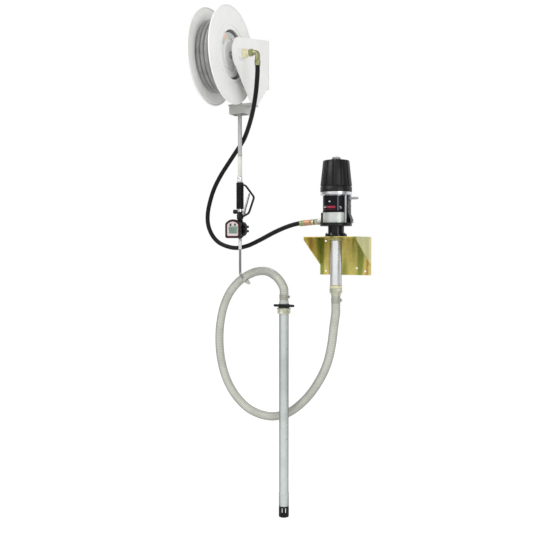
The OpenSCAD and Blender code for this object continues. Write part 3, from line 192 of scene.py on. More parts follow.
def ranged(tree, value, low, high, start=0.0, end=1.0, kind="LINEAR"):
    """A value's range from low to high, laid out from start to end."""
    return node(tree, "MapRange", {
        "Value": value, "From Min": low, "From Max": high, "To Min": start, "To Max": end},
        interpolation_type=kind).outputs["Result"]


def mixed(tree, factor, first, second):
    """Two colours mixed by a factor."""
    made = node(tree, "Mix", {"Factor": factor, COLOUR_A: first, COLOUR_B: second}, data_type="RGBA")
    return made.outputs[COLOUR_RESULT]


def mixed_shaders(tree, factor, first, second):
    """Two shaders mixed by a factor."""
    return node(tree, "MixShader", {"Fac": factor, 1: first, 2: second}).outputs["Shader"]


# Shared shader groups

def shader_group(name, inputs, outputs):
    """A node group, what it is given and the node that takes its results."""
    tree = bpy.data.node_groups.new(name, "ShaderNodeTree")
    for kind, label, value in inputs:
        socket = tree.interface.new_socket(label, in_out="INPUT", socket_type="NodeSocket" + kind)
        if value is not None:
            socket.default_value = value
    for kind, label in outputs:
        tree.interface.new_socket(label, in_out="OUTPUT", socket_type="NodeSocket" + kind)
    return tree, tree.nodes.new("NodeGroupInput").outputs, tree.nodes.new("NodeGroupOutput")


def mottle_group():
    """Two colours in soft patches."""
    tree, given, out = shader_group(
        "Mottled colour",
        [("Vector", "Vector", None), ("Color", "Main", (0.5, 0.5, 0.5, 1)),
         ("Color", "Patches", (0.4, 0.4, 0.4, 1)), ("Float", "Scale", 12.0), ("Float", "Amount", 0.5)],
        [("Color", "Colour"), ("Float", "Mask")])
    cloud = noise(tree, given["Vector"], given["Scale"], 5.0, 0.6)
    patches = ranged(tree, cloud, 0.38, 0.66, kind="SMOOTHSTEP")
    share = calculate(tree, "MULTIPLY", patches, given["Amount"])
    feed(tree, out, {"Colour": mixed(tree, share, given["Main"], given["Patches"]), "Mask": share})
    return tree


def grain_group():
    """Fine height of a moulded, cast or coated surface."""
    tree, given, out = shader_group(
        "Surface grain",
        [("Vector", "Vector", None), ("Float", "Scale", 900.0), ("Float", "Waviness", 40.0),
         ("Float", "Wave share", 0.4)],
        [("Float", "Height")])
    fine = noise(tree, given["Vector"], given["Scale"], 2.0)
    wide = noise(tree, given["Vector"], given["Waviness"], 2.0)
    height = node(tree, "Mix", {"Factor": given["Wave share"], FLOAT_A: fine, FLOAT_B: wide},
                  data_type="FLOAT")
    feed(tree, out, {"Height": height.outputs[FLOAT_RESULT]})
    return tree


def streak_group():
    """Fine lines along one direction, as drawing, turning or brushing leaves them."""
    tree, given, out = shader_group(
        "Drawn streaks",
        [("Vector", "Vector", None), ("Vector", "Stretch", (600.0, 600.0, 12.0))],
        [("Float", "Height")])
    stretched = scaled(tree, given["Vector"], given["Stretch"])
    feed(tree, out, {"Height": noise(tree, stretched, 1.0, 4.0, 0.7)})
    return tree


def rubbed_group():
    """Scattered rubbed spots and a smooth change of roughness."""
    tree, given, out = shader_group(
        "Rubbed spots",
        [("Vector", "Vector", None), ("Float", "Scale", 30.0), ("Float", "Amount", 0.3),
         ("Float", "Low", 0.3), ("Float", "High", 0.5)],
        [("Float", "Mask"), ("Float", "Roughness")])
    cloud = noise(tree, given["Vector"], given["Scale"], 8.0, 0.75)
    feed(tree, out, {
        "Mask": calculate(tree, "MULTIPLY", ranged(tree, cloud, 0.60, 0.72), given["Amount"]),
        "Roughness": ranged(tree, cloud, 0.3, 0.7, given["Low"], given["High"])})
    return tree


def plating_group():
    """Rainbow of yellow zinc: gold, green and orange bands that drift over the sheet."""
    tree, given, out = shader_group(
        "Zinc rainbow",
        [("Vector", "Vector", None), ("Color", "Gold", (0.6, 0.5, 0.1, 1)),
         ("Color", "Green", (0.4, 0.5, 0.1, 1)), ("Color", "Orange", (0.6, 0.4, 0.1, 1))],
        [("Color", "Colour"), ("Float", "Mask")])
    stretched = scaled(tree, given["Vector"], (22.0, 9.0, 2.2))
    wide = noise(tree, stretched, 1.0, 2.0, 0.45)
    fine = noise(tree, given["Vector"], 55.0, 6.0, 0.65)
    to_green = ranged(tree, wide, 0.47, 0.64, kind="SMOOTHSTEP")
    to_orange = ranged(tree, wide, 0.46, 0.34, kind="SMOOTHSTEP")
    rainbow = mixed(tree, to_green, given["Gold"], given["Green"])
    rainbow = mixed(tree, to_orange, rainbow, given["Orange"])
    shade = ranged(tree, fine, 0.3, 0.75, 0.86, 1.08)
    feed(tree, out, {"Colour": scaled(tree, rainbow, shade), "Mask": fine})
    return tree


def spiral_group():
    """The wire inside a clear hose wall, from the piece's own UV: u in metres along, v once around."""
    tree, given, out = shader_group(
        "Spiral wire",
        [("Vector", "UV", None), ("Float", "Pitch", 0.0075), ("Float", "Width", 0.35)],
        [("Float", "Wire"), ("Float", "Height")])
    split = node(tree, "SeparateXYZ", {0: given["UV"]}).outputs
    turns = calculate(tree, "DIVIDE", split["X"], given["Pitch"])
    phase = calculate(tree, "FRACT", calculate(tree, "SUBTRACT", turns, split["Y"]))
    away = calculate(tree, "ABSOLUTE", calculate(tree, "SUBTRACT", phase, 0.5))
    inner = calculate(tree, "MULTIPLY", given["Width"], 0.35)
    wire = ranged(tree, away, inner, given["Width"], 1.0, 0.0, "SMOOTHSTEP")
    feed(tree, out, {"Wire": wire, "Height": wire})
    return tree


# Finishes

GROUPS = {}
FINISHES = {}


def use(tree, group, inputs):
    """A shared group placed in a material with its own inputs; gives its outputs."""
    made = tree.nodes.new("ShaderNodeGroup")
    made.node_tree = GROUPS[group]
    feed(tree, made, inputs)
    return made.outputs


def blank(name, rough, metallic, coat=0.0, specular=0.5):
    """A new material's tree, its shader and its Object coordinates."""
    material = bpy.data.materials.new(name)
    material.use_nodes = True
    tree = material.node_tree
    shader = tree.nodes["Principled BSDF"]
    feed(tree, shader, {"Roughness": rough, "Metallic": metallic, "Coat Weight": coat,
                        "Specular IOR Level": specular})
    FINISHES[name] = material
    return tree, shader, node(tree, "TexCoord").outputs["Object"]


def dress(tree, shader, colour, roughness, height, bump, depth):
    """Gives a shader its colour, its roughness and its relief."""
    relief = node(tree, "Bump", {"Height": height, "Strength": bump, "Distance": depth})
    feed(tree, shader, {"Base Color": colour, "Roughness": roughness,
                        "Normal": relief.outputs["Normal"]})


def four(colour):
    """A colour with full opacity."""
    return (*colour, 1.0)


# How far the rubbed colour covers the main one in a finish's worn spots
RUBBED_AMOUNT = 0.7


def finish(name, main, patches, rough=(0.35, 0.5), metallic=0.0, coat=0.0, mottle=(14.0, 0.6),
           rubbed=None, rub_scale=30.0, grain=(900.0, 40.0, 0.4), bump=0.1, depth=0.0003,
           streak=None, specular=0.5):
    """A finish from its two colours, roughness range, rubbed colour and the height of its grain."""
    tree, shader, place = blank(name, rough[0], metallic, coat, specular)
    colour = use(tree, "mottle", {
        "Vector": place, "Main": four(main), "Patches": four(patches), "Scale": mottle[0],
        "Amount": mottle[1]})["Colour"]
    spots = use(tree, "rubbed", {
        "Vector": place, "Scale": rub_scale, "Amount": RUBBED_AMOUNT if rubbed else 0.0,
        "Low": rough[0], "High": rough[1]})
    if rubbed:
        colour = mixed(tree, spots["Mask"], colour, four(rubbed))
    if streak:
        relief = use(tree, "streak", {"Vector": place, "Stretch": streak})
    else:
        relief = use(tree, "grain", {
            "Vector": place, "Scale": grain[0], "Waviness": grain[1], "Wave share": grain[2]})
    dress(tree, shader, colour, spots["Roughness"], relief["Height"], bump, depth)


def painted_rim_shade(name, rim, start):
    """Paints shade into a finish's colour where its surface turns away from the view, as shade falls on the
    sides of a round tube.
    """
    full, amount = 0.7, 0.85
    tree = FINISHES[name].node_tree
    colour = tree.nodes["Principled BSDF"].inputs["Base Color"]
    turned_away = node(tree, "LayerWeight", {"Blend": 0.5}).outputs["Facing"]
    share = ranged(tree, turned_away, start, full, 0.0, amount)
    tree.links.new(mixed(tree, share, colour.links[0].from_socket, four(rim)), colour)


def plated_finish(name, colours):
    """The bracket's rainbow zinc, with painted light that makes it paler toward its right side."""
    lit_side_start, lit_side_full = 0.110, 0.117
    tree, shader, place = blank(name, 0.3, 0.35)
    zinc = use(tree, "plating", {
        "Vector": place, "Gold": four(colours.plating_gold), "Green": four(colours.plating_green),
        "Orange": four(colours.plating_orange)})["Colour"]
    spots = use(tree, "rubbed", {
        "Vector": place, "Scale": 45.0, "Amount": 0.25, "Low": 0.26, "High": 0.46})
    rolled = use(tree, "grain", {
        "Vector": place, "Scale": 500.0, "Waviness": 22.0, "Wave share": 0.6})
    along = node(tree, "SeparateXYZ", {0: place}).outputs["X"]
    # Painted light: pale cream over the right gusset, whose outer face catches the light
    side = ranged(tree, along, lit_side_start, lit_side_full, 0.0, 0.5)
    zinc = mixed(tree, side, zinc, four(srgb(212, 204, 146)))
    zinc = mixed(tree, spots["Mask"], zinc, four(srgb(222, 216, 168)))
    dress(tree, shader, zinc, spots["Roughness"], rolled["Height"], 0.15, 0.0004)


def suction_finish(name, wall, pitch):
    """Clear grey wall over a steel spiral."""
    tree, shader, place = blank(name, 0.25, 0.0, coat=0.3)
    length = node(tree, "UVMap", uv_map="Length").outputs["UV"]
    spiral = use(tree, "spiral", {"UV": length, "Pitch": pitch, "Width": 0.42})
    colour = use(tree, "mottle", {
        "Vector": place, "Main": four(wall), "Patches": four(srgb(188, 190, 179)), "Scale": 16.0,
        "Amount": 0.7})["Colour"]
    spots = use(tree, "rubbed", {
        "Vector": place, "Scale": 40.0, "Amount": 0.0, "Low": 0.22, "High": 0.4})
    share = calculate(tree, "MULTIPLY", spiral["Wire"], 0.6)
    wired = mixed(tree, share, colour, four(srgb(160, 161, 151)))
    dress(tree, shader, wired, spots["Roughness"], spiral["Height"], 0.5, 0.0012)


# Stretches of the streaks on drawn and on turned metal
UPRIGHT = (700.0, 700.0, 10.0)
TURNED = (60.0, 60.0, 1500.0)

# What like finishes have in common
CAST = {"rub_scale": 60.0, "grain": (700.0, 90.0, 0.3)}
MOULDED = {"grain": (1600.0, 80.0, 0.25), "bump": 0.3}
COATED = {"grain": (420.0, 60.0, 0.25), "bump": 0.12, "coat": 0.2}
DRAWN = {"streak": UPRIGHT, "depth": 0.0001}
ZINC_SPOTS = {"rub_scale": 80.0, "bump": 0.12}
WORN = {"rub_scale": 90.0, "bump": 0.15}
GREY_HOSE = {"rough": (0.35, 0.5), "mottle": (18.0, 0.7), "grain": (1200.0, 90.0, 0.3), "bump": 0.35}
PRINTED = {"rough": (0.3, 0.42), "bump": 0.05}


def metal_finishes():
    """Plated, polished, turned and drawn metals."""
    finish("Pale zinc", srgb(205, 204, 186), srgb(178, 184, 158), (0.25, 0.42), metallic=0.75,
           rubbed=srgb(222, 212, 170), rub_scale=70.0, bump=0.15)
    finish("Chrome", srgb(214, 216, 222), srgb(190, 198, 194), (0.1, 0.2), metallic=1.0,
           mottle=(9.0, 0.6), bump=0.05, **DRAWN)
    finish("Stem chrome", srgb(240, 241, 242), srgb(222, 224, 224), (0.14, 0.24), metallic=0.8,
           mottle=(9.0, 0.6), bump=0.015, **DRAWN)
    finish("Head chrome", srgb(232, 232, 238), srgb(196, 198, 190), (0.15, 0.28), metallic=0.9,
           streak=TURNED, bump=0.06, depth=0.0001)
    finish("Machined aluminium", srgb(208, 212, 208), srgb(184, 190, 184), (0.3, 0.45), metallic=0.55,
           streak=TURNED, bump=0.12, depth=0.0002)
    finish("Steel", srgb(178, 180, 182), srgb(150, 152, 150), (0.25, 0.42), metallic=0.9,
           rubbed=srgb(205, 206, 208), bump=0.12)
    # The lever's sides: its steel painted lighter, as the highlight on their edges
    finish("Lever steel painted light", srgb(214, 215, 216), srgb(188, 190, 190), (0.22, 0.36), metallic=0.6,
           rubbed=srgb(232, 233, 234), bump=0.12)
    finish("Dark steel", srgb(104, 105, 108), srgb(80, 80, 84), (0.3, 0.45), metallic=0.85,
           rubbed=srgb(150, 150, 152), bump=0.15)
    finish("Clamp steel", srgb(182, 183, 172), srgb(156, 158, 146), (0.25, 0.4), metallic=0.7,
           rubbed=srgb(206, 204, 184), **ZINC_SPOTS)
    finish("Nozzle steel", srgb(158, 158, 160), srgb(128, 128, 132), (0.14, 0.24), metallic=0.9,
           mottle=(30.0, 0.6), bump=0.06, **DRAWN)
    finish("Pipe metal", srgb(212, 218, 216), srgb(190, 198, 195), (0.24, 0.38), metallic=0.6,
           mottle=(7.0, 0.8), streak=UPRIGHT, bump=0.12, depth=0.0002)
    finish("Bright zinc", srgb(190, 192, 184), srgb(164, 166, 156), (0.28, 0.4), metallic=0.45,
           rubbed=srgb(232, 230, 214), **ZINC_SPOTS)
    finish("Olive zinc", srgb(196, 190, 146), srgb(168, 164, 118), (0.25, 0.4), metallic=0.6,
           rubbed=srgb(220, 212, 170), **ZINC_SPOTS)
    finish("Brass", srgb(163, 165, 126), srgb(125, 126, 82), (0.28, 0.42), metallic=0.8,
           rubbed=srgb(196, 190, 130), **WORN)
    finish("Pale brass", srgb(232, 226, 190), srgb(214, 206, 160), (0.3, 0.45), metallic=0.4, bump=0.1)
    finish("Copper zinc", srgb(190, 148, 120), srgb(156, 112, 88), (0.28, 0.42), metallic=0.75,
           rubbed=srgb(226, 206, 184), **WORN)


def coat_and_plastic_finishes(colours):
    """Paints, powder coats and moulded plastics."""
    finish("Black casting", srgb(22, 22, 24), srgb(15, 15, 16), (0.24, 0.38),
           rubbed=srgb(60, 60, 62), bump=0.3, specular=0.3, **CAST)
    finish("Neck enamel", srgb(20, 20, 22), srgb(14, 14, 15), (0.12, 0.24), coat=0.1,
           rubbed=srgb(48, 48, 50), bump=0.1, specular=0.25, **CAST)
    finish("Cover plastic", colours.cover_black, srgb(22, 22, 23), (0.3, 0.42),
           grain=(1400.0, 60.0, 0.2), bump=0.3, specular=0.28)
    finish("Black plastic", srgb(22, 22, 23), srgb(14, 14, 15), (0.32, 0.46), specular=0.22, **MOULDED)
    finish("Gear case black", srgb(15, 15, 16), srgb(10, 10, 11), (0.32, 0.46), specular=0.12,
           **MOULDED)
    finish("Dark bore", srgb(12, 12, 13), srgb(8, 8, 9), (0.5, 0.7), specular=0.1)
    finish("White coat", colours.reel_white, srgb(234, 234, 231), (0.28, 0.4), mottle=(5.0, 0.6),
           **COATED)
    finish("Guide grey", srgb(196, 197, 193), srgb(182, 183, 179), (0.3, 0.42), mottle=(9.0, 0.6),
           **COATED)
    finish("Grey plastic", srgb(168, 170, 166), srgb(148, 150, 147), (0.4, 0.55), bump=0.2)
    finish("Meter face", srgb(220, 208, 206), srgb(210, 190, 190), (0.3, 0.42), coat=0.2, bump=0.08)
    finish("Display glass", srgb(126, 154, 136), srgb(108, 134, 120), (0.12, 0.2), coat=0.5,
           mottle=(60.0, 0.5), bump=0.02)
    finish("Display digits", srgb(44, 56, 50), srgb(36, 48, 42), (0.3, 0.4), specular=0.2)


def rubber_finishes(colours):
    """Hoses, grips and the meter's rubber bezel."""
    finish("Hose rubber", colours.hose_black, srgb(24, 24, 25), (0.36, 0.5), mottle=(20.0, 0.7),
           grain=(1300.0, 120.0, 0.3), bump=0.4, rubbed=srgb(40, 40, 41), rub_scale=50.0, specular=0.18)
    finish("Grip rubber", srgb(18, 18, 19), srgb(12, 12, 13), (0.42, 0.58),
           grain=(1500.0, 200.0, 0.3), bump=0.5, specular=0.18)
    finish("Reel hose grey", srgb(186, 187, 184), srgb(168, 169, 166), **GREY_HOSE)
    # The hose on the drum: the reel hose's grey painted darker, as the shade between the flanges
    finish("Drum hose grey in painted shade", srgb(158, 159, 157), srgb(132, 133, 131), **GREY_HOSE)
    finish("Sleeve ivory", srgb(222, 223, 214), srgb(208, 208, 196), mottle=(40.0, 0.6),
           grain=(1200.0, 90.0, 0.3), bump=0.25)
    finish("Dark red rubber", srgb(84, 26, 36), srgb(58, 18, 26), (0.4, 0.55),
           grain=(1500.0, 120.0, 0.3), bump=0.35, specular=0.25)
    finish("Bezel pink", srgb(176, 128, 134), srgb(150, 100, 108), bump=0.2, specular=0.25)


def label_finishes():
    """Plain inks of the labels, which carry no words."""
    finish("Label black", srgb(20, 18, 24), srgb(14, 13, 17), specular=0.12, **PRINTED)
    finish("Label grey", srgb(98, 97, 104), srgb(80, 79, 86), specular=0.2, **PRINTED)
    finish("Label red", srgb(166, 48, 72), srgb(146, 38, 60), specular=0.2, **PRINTED)
    finish("Label white", srgb(226, 224, 226), srgb(208, 206, 210), coat=0.2, **PRINTED)
    finish("Label mint", srgb(206, 224, 214), srgb(196, 214, 208), **PRINTED)
    finish("Label orange", srgb(240, 212, 188), srgb(236, 204, 192), **PRINTED)
    finish("Label blue", srgb(196, 208, 208), srgb(204, 212, 210), **PRINTED)


def make_finishes(colours):
    GROUPS.update(mottle=mottle_group(), grain=grain_group(), streak=streak_group(),
                  rubbed=rubbed_group(), plating=plating_group(), spiral=spiral_group())
    plated_finish("Yellow zinc", colours)
    metal_finishes()
    coat_and_plastic_finishes(colours)
    rubber_finishes(colours)
    label_finishes()
    suction_finish("Suction hose wall", colours.suction_clear, sizes().suction_wire_pitch)
    # Painted shade on the turned-away sides of the suction hose, the pipe, the stem, the nozzle and the
    # reel's hose
    painted_rim_shade("Suction hose wall", srgb(112, 112, 102), 0.12)
    painted_rim_shade("Pipe metal", srgb(78, 84, 82), 0.12)
    painted_rim_shade("Stem chrome", srgb(90, 92, 96), 0.3)
    painted_rim_shade("Nozzle steel", srgb(40, 40, 42), 0.2)
    painted_rim_shade("Reel hose grey", srgb(120, 120, 118), 0.35)


# Width in metres of the rounded edges put on the frame's own parts
NODE_EDGES = {
    "wall_bracket": 0.0008, "base_flange": 0.0008, "motor_base": 0.0008, "air_block": 0.0012,
    "reel_frame": 0.0010, "hose_guide": 0.0008, "foot_strainer": 0.0005,
}

# Finishes of the frame's own parts, also of those that a piece stands for
NODE_FINISH = {
    "wall_bracket": "Yellow zinc", "pump_neck": "Neck enamel", "shelf_nut": "Pale zinc",
    "stem_tube": "Stem chrome", "stem_inlet": "Pale zinc", "base_flange": "Black casting",
    "motor_base": "Machined aluminium", "outlet_adapter": "Pale zinc", "air_block": "Black casting",
    "air_inlet": "Steel", "air_cylinder": "Chrome", "tie_rods": "Steel", "head_plate": "Head chrome",
    "muffler_cover": "Cover plastic", "cover_bolt": "Steel", "piston_rod": "Chrome",
    "air_piston": "Machined aluminium", "pump_piston": "Steel", "piston_ball": "Steel",
    "foot_ball": "Steel", "air_spool": "Brass", "delivery_hose": "Hose rubber",
    "delivery_ferrule": "Copper zinc", "suction_hose": "Suction hose wall", "hose_clamps": "Clamp steel",
    "pipe_hose_tail": "Machined aluminium", "suction_tube": "Pipe metal",
    "foot_strainer": "Black plastic", "bung_adapter": "Pale zinc", "bung_wing_nut": "Black plastic",
    "reel_frame": "White coat", "reel_axle": "Steel", "reel_swivel": "Pale brass",
    "inlet_elbow": "Brass", "hose_guide": "Guide grey", "guide_roller_front": "Grey plastic",
    "guide_roller_rear": "Grey plastic", "drum_flanges": "White coat", "drum_core": "White coat",
    "spring_case": "White coat", "main_spring": "Dark steel", "hose_winding": "Reel hose grey",
    "reel_hose": "Reel hose grey", "hose_swivel_nut": "Steel", "gun_body": "Machined aluminium",
    "valve_cap": "Black plastic", "grip_sleeve": "Grip rubber", "trigger_guard": "Black plastic",
    "trigger_lever": "Steel", "valve_stem": "Steel", "meter_body": "Black plastic",
    "meter_rear_cover": "Black plastic", "meter_bezel": "Dark red rubber", "meter_face": "Meter face",
    "button_left": "Black plastic", "button_right": "Black plastic", "oval_gear_upper": "Grey plastic",
    "oval_gear_lower": "Grey plastic", "nozzle_tube": "Steel", "nozzle_tip": "Dark steel",
}


# Making pieces

UP = (0, 0, 1)
RIGHT = (1, 0, 0)
BACK = (0, 1, 0)
FRONT = (0, -1, 0)


def sizes():
    """The sizes of the dressed pieces, as the panel shows them."""
    return bpy.context.scene.oil_kit_sizes


def deselect():
    bpy.ops.object.select_all(action="DESELECT")


def active():
    return bpy.context.view_layer.objects.active


def use_only(piece):
    """Selects one piece alone and makes it the active one."""
    deselect()
    piece.select_set(True)
    bpy.context.view_layer.objects.active = piece


def hand_over(piece, name, finish_name, slot, body=ROOT):
    """Names a finished piece, gives it its finish and sets it on its body; its slot is not used."""
    piece.name = name
    piece.data.name = name
    piece.data.materials.clear()
    piece.data.materials.append(FINISHES[finish_name])
    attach(piece, body)
    return piece


def set_in_place(piece, origin, axis=UP):
    """Turns a piece made along z to its axis, and puts its place in its mesh."""
    turn = Vector(UP).rotation_difference(Vector(axis).normalized()).to_matrix().to_4x4()
    here = piece.matrix_world.copy()
    piece.matrix_world = Matrix.Identity(4)
    piece.data.transform(Matrix.Translation(origin) @ turn @ here)
    return piece


def apply_modifier(piece, kind, **settings):
    """Adds a modifier with its settings and applies it."""
    use_only(piece)
    modifier = piece.modifiers.new(kind.title(), kind)
    for name, value in settings.items():
        setattr(modifier, name, value)
    bpy.ops.object.modifier_apply(modifier=modifier.name)


def round_edges(piece, width, sharper_than, segments=2):
    """Bevels the edges that turn by more than an angle in degrees."""
    apply_modifier(piece, "BEVEL", width=width, segments=segments, limit_method="ANGLE",
                   angle_limit=math.radians(sharper_than))


def smooth(piece, degrees=35):
    """Shades a piece smooth but for the edges that turn by more than an angle in degrees."""
    use_only(piece)
    bpy.ops.object.shade_smooth_by_angle(angle=math.radians(degrees))


def outlined(points, fill="NGON"):
    """A new piece that is one closed outline of points in space."""
    deselect()
    bpy.ops.mesh.primitive_circle_add(vertices=len(points), radius=1.0, fill_type=fill,
                                      location=(0, 0, 0))
    piece = active()
    for vertex, point in zip(piece.data.vertices, points):
        vertex.co = point
    return piece


def start_editing():
    """Enters edit mode with every face selected."""
    bpy.ops.object.mode_set(mode="EDIT")
    bpy.ops.mesh.select_mode(type="FACE")
    bpy.ops.mesh.select_all(action="SELECT")


def extrude(offset):
    """Extrudes what is selected."""
    bpy.ops.mesh.extrude_region_move(TRANSFORM_OT_translate={"value": offset})


def stop_editing():
    """Turns every normal outward and leaves edit mode."""
    bpy.ops.mesh.select_all(action="SELECT")
    bpy.ops.mesh.normals_make_consistent(inside=False)
    bpy.ops.object.mode_set(mode="OBJECT")


def raised(outline, steps, bevel=0.0, angle=40):
    """A piece along z: an outline in x and y, extruded and scaled through its (scale, height) steps."""
    scale, height = steps[0]
    piece = outlined([(x * scale, y * scale, height) for x, y in outline])
    start_editing()
    for (s0, z0), (s1, z1) in zip(steps, steps[1:]):
        extrude((0, 0, z1 - z0))
        bpy.ops.transform.resize(value=(s1 / s0, s1 / s0, 1), center_override=(0, 0, z1))
    stop_editing()
    if bevel:
        round_edges(piece, bevel, sharper_than=30)
    smooth(piece, angle)
    return piece


def circle_point(radius, angle):
    """A point of the circle round the origin."""
    return (radius * math.cos(angle), radius * math.sin(angle))


def round_outline(sides, turn=0.0):
    """A regular outline of radius 1."""
    return [circle_point(1.0, 2 * math.pi * k / sides + turn) for k in range(sides)]


def turned(profile, sides, angle=40):
    """A turned piece along z through its (radius, height) steps."""
    return raised(round_outline(sides), profile, angle=angle)


def hexagon(across, z0, z1, bevel, turn=0.0):
    """A hexagon nut's body along z, with its width across corners."""
    return raised(round_outline(6, turn), [(across / 2, z0), (across / 2, z1)], bevel, 30)


def socket_screw(radius, height):
    """A cap screw's head along z, with its socket."""
    return turned([(radius, 0), (radius, 0.85 * height), (0.88 * radius, height),
                   (0.52 * radius, height), (0.50 * radius, 0.45 * height)], 24)


def wrap(radius, first, last, z0, z1, thickness=0.00025, steps=28):
    """A thin sheet bent round the z axis, between two angles in degrees."""
    deselect()
    bpy.ops.mesh.primitive_grid_add(x_subdivisions=steps, y_subdivisions=1, size=1)
    piece = active()
    for vertex in piece.data.vertices:
        angle = math.radians(first + (last - first) * (vertex.co.x + 0.5))
        vertex.co = (*circle_point(radius, angle), z0 + (z1 - z0) * (vertex.co.y + 0.5))
    apply_modifier(piece, "SOLIDIFY", thickness=thickness, offset=1)
    smooth(piece)
    return piece


def ribbon(points, width):
    """The outline of a bar of one width along points in a plane, with mitred corners."""
    left, right = [], []
    for i, (x, z) in enumerate(points):
        before = points[max(i - 1, 0)]
        after = points[min(i + 1, len(points) - 1)]
        a = Vector((x - before[0], z - before[1])) if i else None
        b = Vector((after[0] - x, after[1] - z)) if i < len(points) - 1 else None
        a = (a or b).normalized()
        b = (b or a).normalized()
        mid = (a + b).normalized()
        reach = width / 2 / max(mid.dot(a), 0.5)
        left.append((x - mid.y * reach, z + mid.x * reach))
        right.append((x + mid.y * reach, z - mid.x * reach))
    return left + right[::-1]


def rounded(points, radius, steps=5):
    """A path in a plane with its inner corners rounded off."""
    path = [points[0]]
    for (ax, az), (bx, bz), (cx, cz) in zip(points, points[1:], points[2:]):
        b = Vector((bx, bz))
        to_a = Vector((ax, az)) - b
        to_c = Vector((cx, cz)) - b
        cut = min(radius, 0.45 * to_a.length, 0.45 * to_c.length)
        start = b + to_a.normalized() * cut
        end = b + to_c.normalized() * cut
        for k in range(steps + 1):
            t = k / steps
            path.append(tuple(start * (1 - t) ** 2 + b * 2 * t * (1 - t) + end * t * t))
    return path + [points[-1]]


def upright(outline):
    """An outline in x and z as points in space."""
    return [(x, 0, z) for x, z in outline]


def plate(outline, depth, bevel=0.0, segments=2):
    """A flat shape in x and z, from y = 0 toward -y by depth, with rounded edges."""
    piece = outlined(upright(outline))
    start_editing()
    extrude((0, -depth, 0))
    stop_editing()
    if bevel:
        round_edges(piece, bevel, sharper_than=50, segments=segments)
    smooth(piece)
    return piece


def framed(outer, inner, depth, bevel):
    """A flat frame between two outlines with the same number of points, toward -y by depth."""
    piece = outlined(upright(outer), "NOTHING")
    bpy.ops.object.mode_set(mode="EDIT")
    bpy.ops.mesh.select_all(action="SELECT")
    bpy.ops.mesh.extrude_edges_move(TRANSFORM_OT_translate={"value": (0, 0, 0)})
    bpy.ops.object.mode_set(mode="OBJECT")
    for vertex, point in zip(piece.data.vertices[len(outer):], upright(inner)):
        vertex.co = point
    start_editing()
    extrude((0, -depth, 0))
    stop_editing()
    round_edges(piece, bevel, sharper_than=50)
    smooth(piece)
    return piece


def rectangle(x, z, width, height):
    """A rectangle's outline around x and up from z."""
    left, right = x - width / 2, x + width / 2
    return [(left, z), (right, z), (right, z + height), (left, z + height)]


def forward(piece, y):
    """Moves a plate made from y = 0 to the depth where it starts."""
    return set_in_place(piece, (0, y, 0))


def joined(pieces):
    """Several pieces as one."""
    deselect()
    for piece in pieces:
        piece.select_set(True)
    bpy.context.view_layer.objects.active = pieces[0]
    bpy.ops.object.join()
    return active()


def flowing(points, steps):
    """A smooth line through the points, in metres, that passes each of them."""
    ends = [2 * points[0] - points[1], *points, 2 * points[-1] - points[-2]]
    line = []
    for a, b, c, d in zip(ends, ends[1:], ends[2:], ends[3:]):
        t = [0.0]
        for p, q in ((a, b), (b, c), (c, d)):
            t.append(t[-1] + math.sqrt((q - p).length))
        for i in range(steps):
            u = t[1] + (t[2] - t[1]) * i / steps
            ab = a.lerp(b, (u - t[0]) / (t[1] - t[0]))
            bc = b.lerp(c, (u - t[1]) / (t[2] - t[1]))
            cd = c.lerp(d, (u - t[2]) / (t[3] - t[2]))
            abc = ab.lerp(bc, (u - t[0]) / (t[2] - t[0]))
            bcd = bc.lerp(cd, (u - t[1]) / (t[3] - t[1]))
            line.append(abc.lerp(bcd, (u - t[1]) / (t[2] - t[1])))
    line.append(points[-1].copy())
    return line


def metres(points):
    """Points in millimetres as vectors in metres."""
    return [Vector(p) * MM for p in points]


def swept(line, radius, sides):
    """A tube along a line, with closed ends and a UV map: u is metres along, v once around."""
    section = [circle_point(radius, 2 * math.pi * k / sides) for k in range(sides)]
    count = len(line)
    tangents = [(line[min(i + 1, count - 1)] - line[max(i - 1, 0)]).normalized() for i in range(count)]
    up = Vector(BACK) - tangents[0] * tangents[0].y
    if up.length < 0.1:
        up = Vector(RIGHT)
    up.normalize()
    vertices, travelled, along = [], 0.0, []
    for i, (point, tangent) in enumerate(zip(line, tangents)):
        if i:
            up = tangents[i - 1].rotation_difference(tangent) @ up
            travelled += (point - line[i - 1]).length
        up = (up - tangent * up.dot(tangent)).normalized()
        across = tangent.cross(up)
        along.append(travelled)
        vertices += [point + (across * a + up * b) for a, b in section]
    faces = [(i * sides + k, i * sides + (k + 1) % sides, (i + 1) * sides + (k + 1) % sides,
              (i + 1) * sides + k) for i in range(count - 1) for k in range(sides)]
    faces.append(tuple(reversed(range(sides))))
    faces.append(tuple(range((count - 1) * sides, count * sides)))
    mesh = bpy.data.meshes.new("Sweep")
    mesh.from_pydata([tuple(v) for v in vertices], [], faces)
    uv = mesh.uv_layers.new(name="Length")
    for face in mesh.polygons:
        ks = [mesh.loops[j].vertex_index % sides for j in face.loop_indices]
        wraps = sides - 1 in ks and 0 in ks and len(ks) == 4
        for j in face.loop_indices:
            index = mesh.loops[j].vertex_index
            k = index % sides
            around = sides if wraps and k == 0 else k
            uv.data[j].uv = (along[index // sides], around / sides)
    piece = bpy.data.objects.new("Sweep", mesh)
    bpy.context.scene.collection.objects.link(piece)
    use_only(piece)
    bpy.ops.object.mode_set(mode="EDIT")
    stop_editing()
    smooth(piece, 50)
    return piece


def along_outlet(distance):
    """A point on the outlet's drooping axis, in metres."""
    return (OUTLET_START + OUTLET_AXIS * distance) * MM


# Handing over pieces that were made about z: each takes a name, a finish, a slot and a body

def on_pump(piece, *facts):
    """Sets a piece on the pump's axis and hands it over."""
    return hand_over(set_in_place(piece, PUMP), *facts)


def on_outlet(piece, *facts):
    """Sets a piece on the pump's outlet and hands it over."""
    return hand_over(set_in_place(piece, along_outlet(0), OUTLET_AXIS), *facts)


